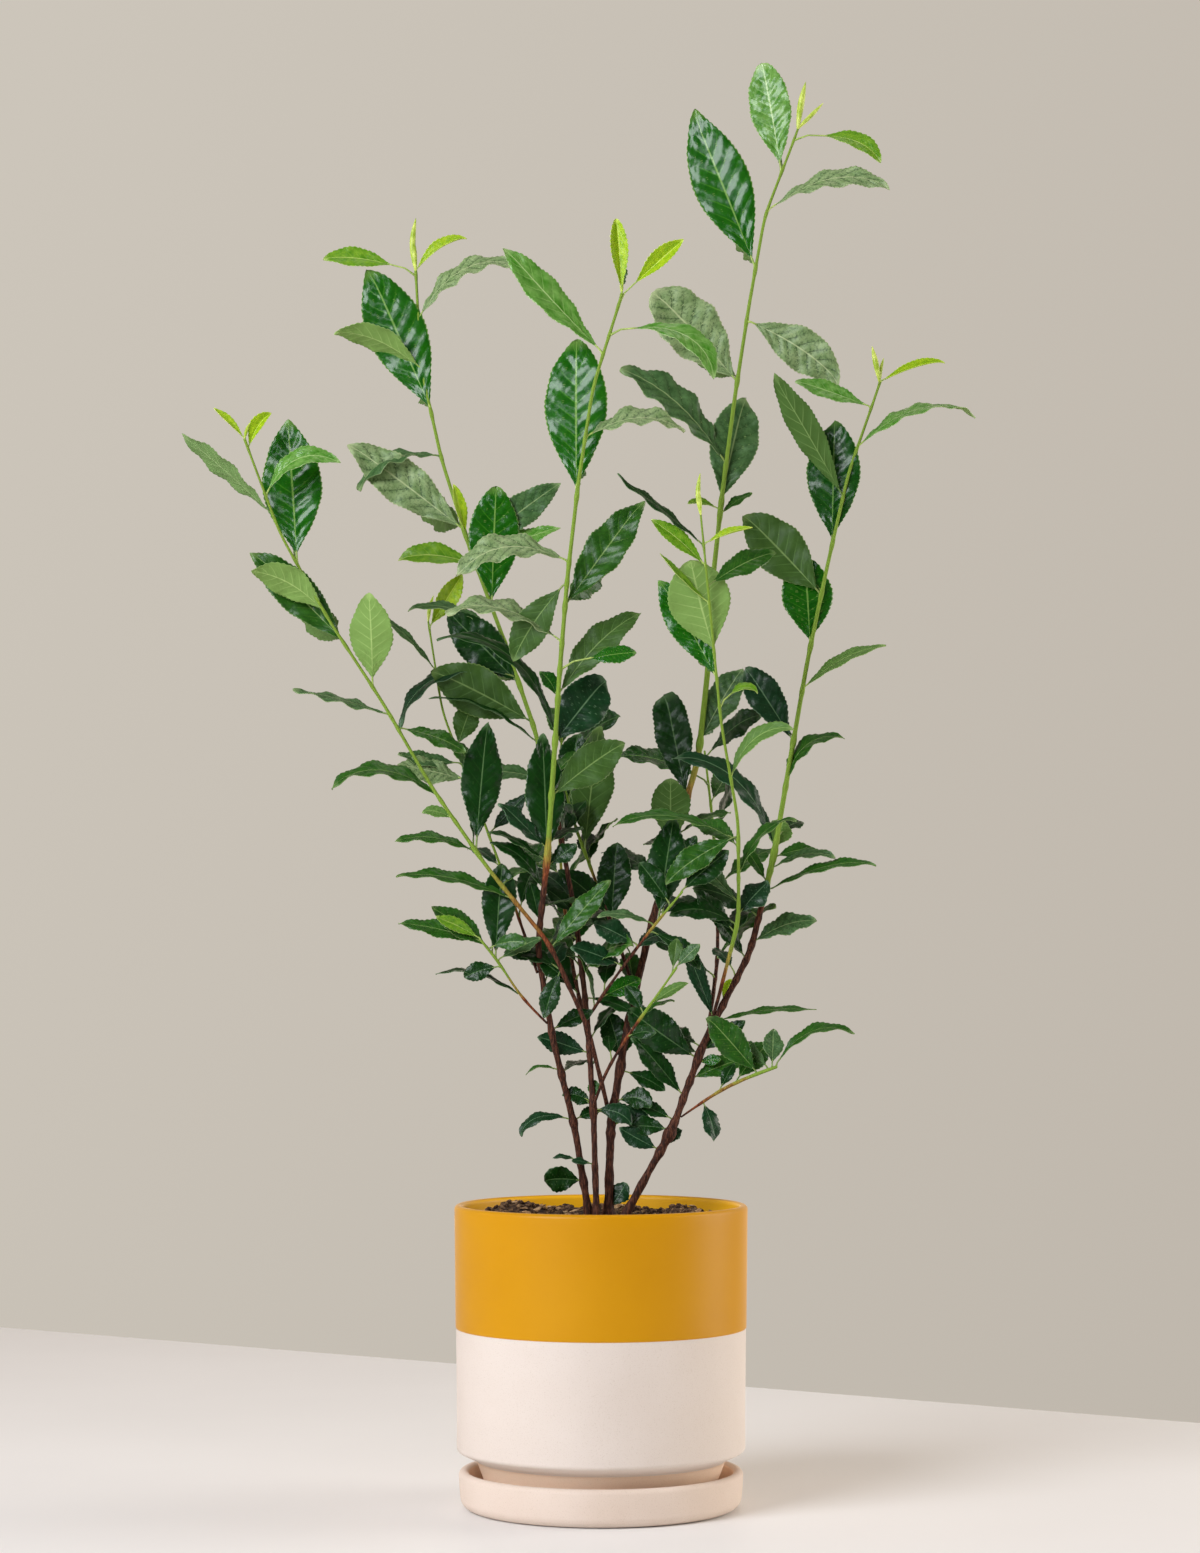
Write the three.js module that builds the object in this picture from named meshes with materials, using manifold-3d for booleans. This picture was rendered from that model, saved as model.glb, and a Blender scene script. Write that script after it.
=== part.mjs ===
// A young tea bush of four slender stems, growing in a two-tone ceramic pot on its saucer.
// Millimetres, +Z up. The origin is the middle of the saucer's underside, and the front is -Y.

import * as THREE from 'three';
import { mergeVertices } from 'three/addons/utils/BufferGeometryUtils.js';
import Module from 'manifold-3d';

const wasm = await Module();
wasm.setup();

// Driving sizes of the pot and saucer.
const gap = 0.3;
const lathe = 24;
const potRadius = 100;
const potBaseRadius = 98.5;
const potHeight = 206.5;
const potWall = 6;
const footRadius = 85.3;
const footTaper = 9;
const footTop = 33.2;
const cornerRadius = 3.5;
const underSlope = 26;
const shoulderRadius = 10;
const drainRadius = 9;
const saucerRadius = 97;
const saucerHeight = 26;
const saucerWall = 7;
const saucerFloor = 8;
const saucerCorner = 8;
const potFloor = saucerFloor + gap + potWall + 4;

// The potting mix is level under the stems and heaped towards both sides.
const soilLevel = 196;
const flatRadius = 38;
const heaps = [
  { x: -58, y: 18, width: 24, rise: 9 },
  { x: 54, y: 10, width: 22, rise: 8 },
  { x: -4, y: 66, width: 44, rise: 3 },
];

// Limbs. Each route runs from foot to tip, with z counted from the soil and front at -y.
const limbSides = 6;
const limbStep = 66;
const flareLength = 16;
const flareGain = 0.5;
const limbs = {
  centre_stem: {
    radii: [2.5, 1.0],
    route: [[-8, 4, 0], [-20, 0, 74], [-43, -12, 172], [-37, -22, 236], [-31, -38, 321],
      [-24, -55, 416], [-13, -70, 508], [0, -80, 579], [14, -84, 616]],
  },
  left_stem: {
    radii: [2.2, 1.0],
    route: [[-3, -6, 0], [-7, 2, 108], [-21, 18, 229], [-49, 40, 347], [-92, 62, 465],
      [-122, 78, 567], [-131, 84, 633], [-131, 86, 664]],
  },
  tall_stem: {
    radii: [3.1, 0.9],
    route: [[5, 5, 0], [7, 9, 66], [19, 18, 136], [45, 34, 240], [69, 48, 323],
      [79, 66, 449], [94, 78, 571], [109, 82, 664], [123, 80, 731], [139, 76, 762]],
  },
  right_stem: {
    radii: [2.8, 0.9],
    route: [[15, -5, 0], [37, -2, 42], [56, 2, 74], [77, 8, 138], [100, 12, 176],
      [119, 18, 249], [138, 26, 360], [159, 34, 460], [179, 40, 541], [194, 44, 578]],
  },
  far_left_bough: {
    parent: 'tall_stem',
    radii: [1.7, 0.8],
    route: [[6, 8, 70], [-5, -9, 106], [-16, -15, 162], [-56, -29, 212], [-105, -34, 279],
      [-152, -44, 359], [-204, -58, 440], [-226, -68, 493], [-236, -74, 522]],
  },
  front_bough: {
    parent: 'right_stem',
    radii: [1.4, 0.7],
    route: [[77, 8, 138], [90, -2, 184], [96, -16, 233], [87, -40, 304], [77, -56, 351], [73, -66, 388],
      [73, -70, 430], [66, -72, 472]],
  },
  rear_left_bough: {
    parent: 'centre_stem',
    radii: [1.1, 0.7],
    route: [[-43, -12, 168], [-64, 6, 228], [-95, 34, 310], [-116, 52, 368], [-121, 62, 414]],
  },
  middle_bough: {
    parent: 'tall_stem',
    radii: [1.4, 0.8],
    route: [[23, 21, 156], [0, 34, 223], [-17, 44, 264], [-29, 58, 317]],
  },
  back_bough: {
    parent: 'left_stem',
    radii: [1.5, 0.8],
    route: [[-8, 3, 118], [-22, 42, 186], [-30, 84, 262], [-28, 116, 338]],
  },
  back_right_bough: {
    parent: 'right_stem',
    radii: [1.5, 0.8],
    route: [[74, 7, 132], [82, 48, 190], [80, 84, 262], [74, 112, 326]],
  },
  crossing_twig: {
    parent: 'left_stem',
    radii: [1.2, 0.7],
    route: [[-6, -1, 75], [6, -16, 107], [30, -26, 142], [51, -38, 172]],
  },
  upper_crossing_twig: {
    parent: 'left_stem',
    radii: [1.1, 0.7],
    route: [[-9, 5, 138], [11, -10, 167], [38, -24, 203], [55, -34, 223]],
  },
  low_right_twig: {
    parent: 'right_stem',
    radii: [1.0, 0.7],
    route: [[54, 2, 70], [75, -12, 84], [91, -22, 96], [119, -36, 105]],
  },
  low_left_twig: {
    parent: 'centre_stem',
    radii: [1.0, 0.7],
    route: [[-36, -8, 134], [-55, -18, 152], [-66, -26, 172], [-81, -32, 190]],
  },
};

// Foliage. A mass spans its limb between two heights and sends a lobe along each of its leaves,
// which climb round the limb by a fixed turn. Angles are degrees, with 0 to the right (+X).
const coreRadius = 12;
const lobeSpread = 0.4;
const massGap = 0.7;
const masses = {
  tall_tip_leaves: { limb: 'tall_stem', span: [672, 744], leaves: 5, first: 4, turn: 152, reach: 86, rise: 30 },
  tall_high_leaves: { limb: 'tall_stem', span: [556, 660], leaves: 4, first: 160, turn: 148, reach: 94, rise: 36 },
  tall_middle_leaves: { limb: 'tall_stem', span: [446, 540], leaves: 4, first: 178, turn: 146, reach: 92, rise: 28 },
  tall_lower_leaves: { limb: 'tall_stem', span: [330, 430], leaves: 4, first: 20, turn: 142, reach: 76, rise: 20 },
  tall_foot_leaves: { limb: 'tall_stem', span: [186, 300], leaves: 4, first: 200, turn: 144, reach: 56, rise: 24 },
  right_tip_leaves: { limb: 'right_stem', span: [524, 574], leaves: 4, first: 356, turn: 148, reach: 90, rise: 12 },
  right_high_leaves: { limb: 'right_stem', span: [420, 508], leaves: 4, first: 192, turn: 142, reach: 84, rise: 40 },
  right_middle_leaves: { limb: 'right_stem', span: [316, 404], leaves: 4, first: 4, turn: 150, reach: 76, rise: 14 },
  right_lower_leaves: { limb: 'right_stem', span: [196, 300], leaves: 4, first: 342, turn: 146, reach: 68, rise: 10 },
  right_foot_leaves: { limb: 'right_stem', span: [96, 172], leaves: 4, first: 190, turn: 140, reach: 42, rise: 30 },
  centre_tip_leaves: { limb: 'centre_stem', span: [540, 606], leaves: 5, first: 168, turn: 148, reach: 88, rise: 34 },
  centre_high_leaves: { limb: 'centre_stem', span: [430, 524], leaves: 4, first: 10, turn: 145, reach: 88, rise: 26 },
  centre_middle_leaves: { limb: 'centre_stem', span: [326, 414], leaves: 4, first: 172, turn: 140, reach: 84, rise: 18 },
  centre_lower_leaves: { limb: 'centre_stem', span: [210, 310], leaves: 4, first: 40, turn: 148, reach: 62, rise: 20 },
  left_tip_leaves: { limb: 'left_stem', span: [572, 644], leaves: 5, first: 172, turn: 150, reach: 76, rise: 20 },
  left_high_leaves: { limb: 'left_stem', span: [466, 556], leaves: 4, first: 176, turn: 156, reach: 82, rise: 24 },
  left_middle_leaves: { limb: 'left_stem', span: [352, 450], leaves: 4, first: 30, turn: 140, reach: 76, rise: 26 },
  left_lower_leaves: { limb: 'left_stem', span: [226, 336], leaves: 4, first: 150, turn: 137, reach: 58, rise: 20 },
  far_left_tip_leaves: { limb: 'far_left_bough', span: [470, 520], leaves: 5, first: 174, turn: 148, reach: 84, rise: 32 },
  far_left_high_leaves: { limb: 'far_left_bough', span: [338, 440], leaves: 4, first: 176, turn: 150, reach: 74, rise: 34 },
  far_left_lower_leaves: { limb: 'far_left_bough', span: [226, 316], leaves: 4, first: 184, turn: 144, reach: 64, rise: 12 },
  front_tip_leaves: { limb: 'front_bough', span: [318, 386], leaves: 5, first: 262, turn: 140, reach: 66, rise: 34 },
  front_shoot_leaves: { limb: 'front_bough', span: [410, 466], leaves: 4, first: 196, turn: 150, reach: 56, rise: 22 },
  front_lower_leaves: { limb: 'front_bough', span: [206, 290], leaves: 4, first: 176, turn: 146, reach: 58, rise: 16 },
  rear_left_leaves: { limb: 'rear_left_bough', span: [330, 412], leaves: 4, first: 140, turn: 144, reach: 56, rise: 30 },
  middle_leaves: { limb: 'middle_bough', span: [236, 314], leaves: 4, first: 80, turn: 140, reach: 56, rise: 20 },
  back_leaves: { limb: 'back_bough', span: [230, 336], leaves: 4, first: 90, turn: 140, reach: 66, rise: 26 },
  back_right_leaves: { limb: 'back_right_bough', span: [224, 324], leaves: 4, first: 60, turn: 140, reach: 64, rise: 26 },
  crossing_leaves: { limb: 'crossing_twig', span: [146, 171], leaves: 3, first: 250, turn: 130, reach: 44, rise: 12 },
  upper_crossing_leaves: { limb: 'upper_crossing_twig', span: [196, 222], leaves: 3, first: 300, turn: 134, reach: 40, rise: 16 },
  low_right_leaves: { limb: 'low_right_twig', span: [84, 104], leaves: 4, first: 10, turn: 138, reach: 42, rise: 26 },
  low_left_leaves: { limb: 'low_left_twig', span: [166, 189], leaves: 3, first: 176, turn: 140, reach: 42, rise: 8 },
  left_foot_leaves: { limb: 'centre_stem', span: [22, 60], leaves: 3, first: 196, turn: 120, reach: 34, rise: 8 },
  right_foot_sprig: { limb: 'right_stem', span: [40, 84], leaves: 4, first: 176, turn: 150, reach: 34, rise: 26 },
};

const glaze = new THREE.MeshStandardMaterial({ color: 0xd69608, roughness: 0.4, metalness: 0 });
const bisque = new THREE.MeshStandardMaterial({ color: 0xe8dacf, roughness: 0.8, metalness: 0 });
const mix = new THREE.MeshStandardMaterial({ color: 0x32211a, roughness: 0.95, metalness: 0 });
const bark = new THREE.MeshStandardMaterial({ color: 0x56382a, roughness: 0.75, metalness: 0 });
const leaf = new THREE.MeshStandardMaterial({ color: 0x2f5f33, roughness: 0.45, metalness: 0 });

// Adds a quarter round to a profile, from one angle to another about a centre.
function round(profile, x, y, radius, from, to, steps = 4) {
  for (let i = 0; i <= steps; i += 1) {
    const angle = THREE.MathUtils.degToRad(from + (to - from) * i / steps);
    profile.push(new THREE.Vector2(x + radius * Math.cos(angle), y + radius * Math.sin(angle)));
  }
}

function turned(profile) {
  const geometry = new THREE.LatheGeometry(profile, lathe);
  geometry.rotateX(Math.PI / 2);
  return geometry;
}

function saucerGeometry() {
  const lip = saucerWall / 2;
  const inner = saucerRadius - saucerWall;
  const profile = [new THREE.Vector2(0, 0)];
  round(profile, saucerRadius - saucerCorner - 1, saucerCorner, saucerCorner, -90, -8, 3);
  round(profile, saucerRadius - lip, saucerHeight - lip, lip, 0, 180);
  round(profile, inner - 4, saucerFloor + 4, 4, 0, -90, 2);
  profile.push(new THREE.Vector2(0, saucerFloor));
  return turned(profile);
}

// The inside of the pot from its floor up to its straight wall, or a line that far inside it.
function cavityProfile(inset = 0) {
  const foot = footRadius - potWall;
  const shoulder = footTop + potWall + shoulderRadius;
  const profile = [new THREE.Vector2(foot - footTaper - inset, potFloor + inset)];
  profile.push(new THREE.Vector2(foot - inset, footTop + inset));
  round(profile, potBaseRadius - potWall - shoulderRadius, shoulder, shoulderRadius - inset, -70, 0, 2);
  return profile;
}

function potGeometry() {
  const lip = potWall / 2;
  const under = saucerFloor + gap;
  const profile = [new THREE.Vector2(drainRadius, under)];
  profile.push(new THREE.Vector2(footRadius - footTaper, under));
  profile.push(new THREE.Vector2(footRadius, footTop));
  const slope = THREE.MathUtils.degToRad(underSlope);
  const run = potBaseRadius - cornerRadius + cornerRadius * Math.sin(slope) - footRadius;
  const lift = run * Math.tan(slope) + cornerRadius * Math.cos(slope);
  round(profile, potBaseRadius - cornerRadius, footTop + lift, cornerRadius, underSlope - 90, 0, 2);
  round(profile, potRadius - lip, potHeight - lip, lip, 0, 180);
  profile.push(...cavityProfile().reverse());
  profile.push(new THREE.Vector2(drainRadius, potFloor));
  profile.push(profile[0].clone());
  return turned(profile);
}

function soilHeight(x, y) {
  const away = Math.max(0, Math.hypot(x, y) - flatRadius);
  let height = soilLevel;
  for (const heap of heaps) {
    const share = Math.hypot(x - heap.x, y - heap.y) / heap.width;
    height += heap.rise * Math.exp(-share * share) * Math.min(1, away / 12);
  }
  return height;
}

// The mix fills the pot's inside, and its top is heaped.
function soilGeometry() {
  const inset = gap + 0.1;
  const profile = [new THREE.Vector2(0, potFloor + inset), ...cavityProfile(inset)];
  for (const share of [1, 0.84, 0.68]) {
    profile.push(new THREE.Vector2((potRadius - potWall - 2 * inset) * share, soilLevel));
  }
  profile.push(new THREE.Vector2(flatRadius, soilLevel), new THREE.Vector2(0, soilLevel));
  const geometry = turned(profile);
  const place = geometry.getAttribute('position');
  for (let i = 0; i < place.count; i += 1) {
    if (place.getZ(i) > soilLevel - 1) place.setZ(i, soilHeight(place.getX(i), place.getY(i)));
  }
  return geometry;
}

function curveOf(limb) {
  return new THREE.CatmullRomCurve3(limb.route.map((point) => new THREE.Vector3(...point)), false, 'centripetal');
}

// The point of a limb at a height, found by halving, as every limb climbs all the way.
function pointAtHeight(curve, height) {
  let low = 0;
  let high = 1;
  for (let i = 0; i < 30; i += 1) {
    const middle = (low + high) / 2;
    if (curve.getPointAt(middle).z < height) low = middle;
    else high = middle;
  }
  return curve.getPointAt(low);
}

// A closed tapering limb: rings along its curve, each joined to the next, and a cap at both ends.
function limbGeometry(limb, grow = 0) {
  const curve = curveOf(limb);
  const length = curve.getLength();
  const steps = Math.max(4, Math.round(length / limbStep));
  const [footSize, tipSize] = limb.radii;
  const places = [];
  const shares = [0];
  if (!limb.parent) shares.push(flareLength / length);
  for (let i = 1; i <= steps; i += 1) shares.push(i / steps);
  for (const share of shares) {
    const middle = curve.getPointAt(share);
    const along = curve.getTangentAt(share);
    if (share === 0 && !limb.parent) along.set(0, 0, 1);
    if (share === 0) middle.addScaledVector(along, -grow);
    if (share === 1) middle.addScaledVector(along, grow);
    const side = new THREE.Vector3().crossVectors(along, new THREE.Vector3(0, 1, 0)).normalize();
    const back = new THREE.Vector3().crossVectors(side, along).normalize();
    const flare = share === 0 && !limb.parent ? 1 + flareGain : 1;
    const radius = (footSize + (tipSize - footSize) * share) * flare + grow;
    for (let j = 0; j < limbSides; j += 1) {
      const angle = j / limbSides * Math.PI * 2;
      const point = middle.clone();
      point.addScaledVector(side, radius * Math.cos(angle));
      point.addScaledVector(back, radius * Math.sin(angle));
      places.push(point.x, point.y, point.z);
    }
  }
  const faces = [];
  const last = (shares.length - 1) * limbSides;
  for (let i = 0; i < last; i += limbSides) {
    for (let j = 0; j < limbSides; j += 1) {
      const next = (j + 1) % limbSides;
      faces.push(i + j, i + limbSides + j, i + limbSides + next);
      faces.push(i + j, i + limbSides + next, i + next);
    }
  }
  for (let j = 1; j < limbSides - 1; j += 1) {
    faces.push(0, j, j + 1);
    faces.push(last, last + j + 1, last + j);
  }
  const geometry = new THREE.BufferGeometry();
  geometry.setAttribute('position', new THREE.Float32BufferAttribute(places, 3));
  geometry.setIndex(faces);
  return geometry;
}

// A repeatable number from 0 to 1 for one leaf of one mass.
function chance(seed, index) {
  const value = Math.sin(seed * 12.9898 + index * 78.233) * 43758.5453;
  return value - Math.floor(value);
}

// The centre of a mass, and the place of each of its leaf tips from there.
function massPlan(mass, seed) {
  const curve = curveOf(limbs[mass.limb]);
  const [low, high] = mass.span;
  const centre = pointAtHeight(curve, (low + high) / 2);
  const tips = [];
  for (let i = 0; i < mass.leaves; i += 1) {
    const foot = pointAtHeight(curve, low + (high - low) * i / (mass.leaves - 1));
    const around = THREE.MathUtils.degToRad(mass.first + i * mass.turn + 14 * chance(seed, i));
    const up = THREE.MathUtils.degToRad(mass.rise + 16 * chance(seed, i + 40) - 8);
    const length = mass.reach * (0.92 + 0.08 * chance(seed, i + 80));
    const tip = new THREE.Vector3(Math.cos(around) * Math.cos(up), Math.sin(around) * Math.cos(up), Math.sin(up));
    tips.push(tip.multiplyScalar(length).add(foot).sub(centre));
  }
  return { centre, tips, half: (high - low) / 2 };
}

// One closed uneven mass: a slim core along the limb, drawn out to a lobe at each leaf tip.
function massGeometry(mass, seed, grow = 0) {
  const { centre, tips, half } = massPlan(mass, seed);
  let geometry = new THREE.IcosahedronGeometry(1, mass.reach > 60 ? 2 : 1);
  geometry.deleteAttribute('normal');
  geometry.deleteAttribute('uv');
  geometry = mergeVertices(geometry);
  const place = geometry.getAttribute('position');
  const directions = [];
  for (let i = 0; i < place.count; i += 1) {
    directions.push(new THREE.Vector3().fromBufferAttribute(place, i).normalize());
  }
  const radii = directions.map((direction) => {
    const flat = Math.hypot(direction.x, direction.y) / coreRadius;
    let radius = 1 / Math.hypot(flat, direction.z / (half + coreRadius));
    for (const tip of tips) {
      const share = direction.angleTo(tip) / lobeSpread;
      radius = Math.max(radius, tip.length() * Math.exp(-share * share));
    }
    return radius;
  });
  for (const tip of tips) {
    let nearest = 0;
    directions.forEach((direction, i) => {
      if (direction.angleTo(tip) < directions[nearest].angleTo(tip)) nearest = i;
    });
    directions[nearest] = tip.clone().normalize();
    radii[nearest] = tip.length();
  }
  directions.forEach((direction, i) => {
    const point = direction.multiplyScalar(radii[i] + grow).add(centre);
    place.setXYZ(i, point.x, point.y, point.z);
  });
  return geometry;
}

function toSolid(geometry) {
  geometry.deleteAttribute('normal');
  geometry.deleteAttribute('uv');
  const merged = mergeVertices(geometry, 1e-4);
  const vertProperties = new Float32Array(merged.getAttribute('position').array);
  const triVerts = new Uint32Array(merged.getIndex().array);
  return new wasm.Manifold(new wasm.Mesh({ numProp: 3, vertProperties, triVerts }));
}

function toGeometry(solid) {
  const { vertProperties, triVerts } = solid.getMesh();
  const geometry = new THREE.BufferGeometry();
  geometry.setAttribute('position', new THREE.BufferAttribute(vertProperties, 3));
  geometry.setIndex(new THREE.BufferAttribute(triVerts, 1));
  geometry.computeVertexNormals();
  return geometry;
}

function largestPiece(solid) {
  return solid.decompose().reduce((best, piece) => (piece.volume() > best.volume() ? piece : best));
}

function addMesh(parent, name, geometry, material, centre = new THREE.Vector3()) {
  const mesh = new THREE.Mesh(geometry, material);
  mesh.name = name;
  geometry.translate(-centre.x, -centre.y, -centre.z);
  mesh.position.copy(centre);
  parent.add(mesh);
}

// Limbs: a stem's flat foot stands on the mix, and a bough starts clear of its parent's side.
function addLimbs(plant) {
  for (const [name, limb] of Object.entries(limbs)) {
    let solid = toSolid(limbGeometry(limb));
    if (limb.parent) {
      solid = largestPiece(solid.subtract(toSolid(limbGeometry(limbs[limb.parent], gap))));
    }
    addMesh(plant, name, toGeometry(solid), bark, new THREE.Vector3(...limb.route[0]));
  }
}

// Foliage: each mass is cut round every limb and round the masses made before it.
function addMasses(plant) {
  let taken = null;
  for (const limb of Object.values(limbs)) {
    const grown = toSolid(limbGeometry(limb, gap + 0.1));
    taken = taken ? taken.add(grown) : grown;
  }
  Object.entries(masses).forEach(([name, mass], seed) => {
    const solid = largestPiece(toSolid(massGeometry(mass, seed)).subtract(taken));
    taken = taken.add(toSolid(massGeometry(mass, seed, massGap)));
    addMesh(plant, name, toGeometry(solid), leaf, massPlan(mass, seed).centre);
  });
}

const bush = new THREE.Group();
addMesh(bush, 'saucer', saucerGeometry(), bisque);
addMesh(bush, 'pot', potGeometry(), glaze);
addMesh(bush, 'potting_mix', soilGeometry(), mix);

const plant = new THREE.Group();
plant.position.z = soilLevel + gap;
addLimbs(plant);
addMasses(plant);
bush.add(plant);

export default bush;
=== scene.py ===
from functools import partial
from math import acos, cos, degrees, pi, radians, sin, tan
from types import SimpleNamespace

import bpy
import numpy as np
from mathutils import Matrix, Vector, noise


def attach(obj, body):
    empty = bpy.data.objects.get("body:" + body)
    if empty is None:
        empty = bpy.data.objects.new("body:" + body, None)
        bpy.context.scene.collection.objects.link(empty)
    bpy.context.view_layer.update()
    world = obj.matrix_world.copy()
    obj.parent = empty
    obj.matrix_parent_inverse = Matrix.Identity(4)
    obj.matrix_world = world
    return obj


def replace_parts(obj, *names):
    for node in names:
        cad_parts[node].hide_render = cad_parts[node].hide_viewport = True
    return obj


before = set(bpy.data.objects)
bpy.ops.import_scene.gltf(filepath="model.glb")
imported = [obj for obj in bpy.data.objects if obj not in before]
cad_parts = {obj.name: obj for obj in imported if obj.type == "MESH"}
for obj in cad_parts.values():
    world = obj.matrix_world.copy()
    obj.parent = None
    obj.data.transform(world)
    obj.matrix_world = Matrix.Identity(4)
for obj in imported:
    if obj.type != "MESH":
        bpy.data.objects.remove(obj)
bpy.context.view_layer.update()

mm = 0.001
soilLevel = 196.3  # top of the potting mix above the table, in mm: stem heights start here
rng = np.random.default_rng(4127)


def linear(hexText):
    # sRGB hex to the linear colour that shaders take
    parts = [int(hexText[i : i + 2], 16) / 255 for i in (1, 3, 5)]
    curve = [p / 12.92 if p <= 0.04045 else ((p + 0.055) / 1.055) ** 2.4 for p in parts]
    return (*curve, 1.0)


def setNode(made, settings):
    # a key is a property, an input or a ramp's stops; a node or an output given as the value is linked in
    for key, value in settings.items():
        if isinstance(value, bpy.types.Node):
            value = next(output for output in value.outputs if output.enabled)
        if key == "stops":
            stops, elements = list(value), made.color_ramp.elements
            while len(elements) < len(stops):
                elements.new(0.5)
            for element, (place, colour) in zip(elements, stops):
                element.position = place
                element.color = linear(colour)
        elif isinstance(key, str) and hasattr(made, key):
            setattr(made, key, value)
        elif isinstance(value, bpy.types.NodeSocket):
            made.id_data.links.new(value, made.inputs[key])
        else:
            made.inputs[key].default_value = value


def addNode(tree, kind, settings=None):
    made = tree.nodes.new("ShaderNode" + kind)
    setNode(made, settings or {})
    return made


def newMaterial(name, **shader):
    # a principled material, its shader with the fixed numbers set, and addNode for its own tree
    material = bpy.data.materials.new(name)
    material.use_nodes = True
    surface = material.node_tree.nodes["Principled BSDF"]
    setNode(surface, shader)
    return material, surface, partial(addNode, material.node_tree)


def newObject(name, data):
    made = bpy.data.objects.new(name, data)
    bpy.context.scene.collection.objects.link(made)
    return made


def addPiece(name, points, faces, materials, slot, faceMaterial=None, uv=None):
    # a smooth mesh, in metres, that rides with the plant
    mesh = bpy.data.meshes.new(name)
    mesh.from_pydata([tuple(p) for p in points], [], [tuple(f) for f in faces])
    for material in materials:
        mesh.materials.append(material)
    if faceMaterial is not None:
        mesh.polygons.foreach_set("material_index", np.asarray(faceMaterial, dtype=np.int32))
    if uv is not None:
        layer = mesh.uv_layers.new(name="OFBake")
        layer.data.foreach_set("uv", np.asarray(uv, dtype=np.float32).ravel())
    mesh.polygons.foreach_set("use_smooth", np.full(len(mesh.polygons), True))
    mesh.update()
    piece = newObject(name, mesh)
    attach(piece, "root")
    return piece


def turnedMesh(profile, segments):
    # a closed solid turned round the z axis from (radius, height) in mm, and each face's row
    points, rings, faces, rows = [], [], [], []
    for radius, height in profile:
        if radius == 0:
            rings.append([len(points)] * segments)
            points.append((0, 0, height * mm))
            continue
        rings.append([len(points) + i for i in range(segments)])
        for i in range(segments):
            turn = 2 * pi * i / segments
            points.append((radius * cos(turn) * mm, radius * sin(turn) * mm, height * mm))
    for row in range(len(rings) - 1):
        for i in range(segments):
            j = (i + 1) % segments
            ring = [rings[row][i], rings[row][j], rings[row + 1][j], rings[row + 1][i]]
            face = [v for k, v in enumerate(ring) if v != ring[k - 1]]
            if len(face) > 2:
                faces.append(face)
                rows.append(row)
    return points, faces, rows


def arc(centreR, centreZ, radius, start, end, steps):
    return [
        (centreR + radius * cos(radians(a)), centreZ + radius * sin(radians(a)))
        for a in np.linspace(start, end, steps + 1)
    ]


view = {"place": (-0.0007, -2.4, 0.38), "lens": 81.5, "sensor": 36, "rise": 0.1117}
camera = newObject("camera", bpy.data.cameras.new("camera"))
camera.location = view["place"]
camera.rotation_euler = (pi / 2, 0, 0)
camera.data.lens = view["lens"]
camera.data.sensor_width = view["sensor"]
camera.data.shift_y = view["rise"]
bpy.context.scene.camera = camera
bpy.context.scene.view_settings.view_transform = "Standard"

lampsAim = Vector((0, 0, 0.35))
lamps = {
    "keyLight": {"place": (-1.8, -1.95, 1.8), "size": 1.8, "watts": 88, "colour": "#f5f8ff"},
    "leftLight": {"place": (-2.4, 0.5, 0.9), "size": 1.2, "watts": 4, "colour": "#fff4ea"},
    "rightLight": {"place": (2.4, 0.3, 0.8), "size": 2.0, "watts": 43, "colour": "#fffaf4"},
    "topLight": {"place": (0.2, 0.3, 2.5), "size": 1.0, "watts": 4, "colour": "#fff4ea"},
    "frontLight": {"place": (-0.5, -2.2, 1.3), "size": 0.45, "watts": 2.6, "colour": "#eef5ff"},
}
for name, lamp in lamps.items():
    light = newObject(name, bpy.data.lights.new(name, "AREA"))
    light.data.shape = "DISK"
    light.data.size = lamp["size"]
    light.data.energy = lamp["watts"]
    light.data.color = linear(lamp["colour"])[:3]
    light.location = lamp["place"]
    light.rotation_euler = (lampsAim - Vector(lamp["place"])).to_track_quat("-Z", "Y").to_euler()

room = {
    "left": "#ccc5ba", "right": "#bfb7ac", "slant": -0.45, "from": -0.26, "to": 0.24,
    "dark": 0.03, "sides": 0.25, "above": 0.22, "behind": 1.5, "narrow": 5.0, "glow": "#ffeedd",
}


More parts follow.
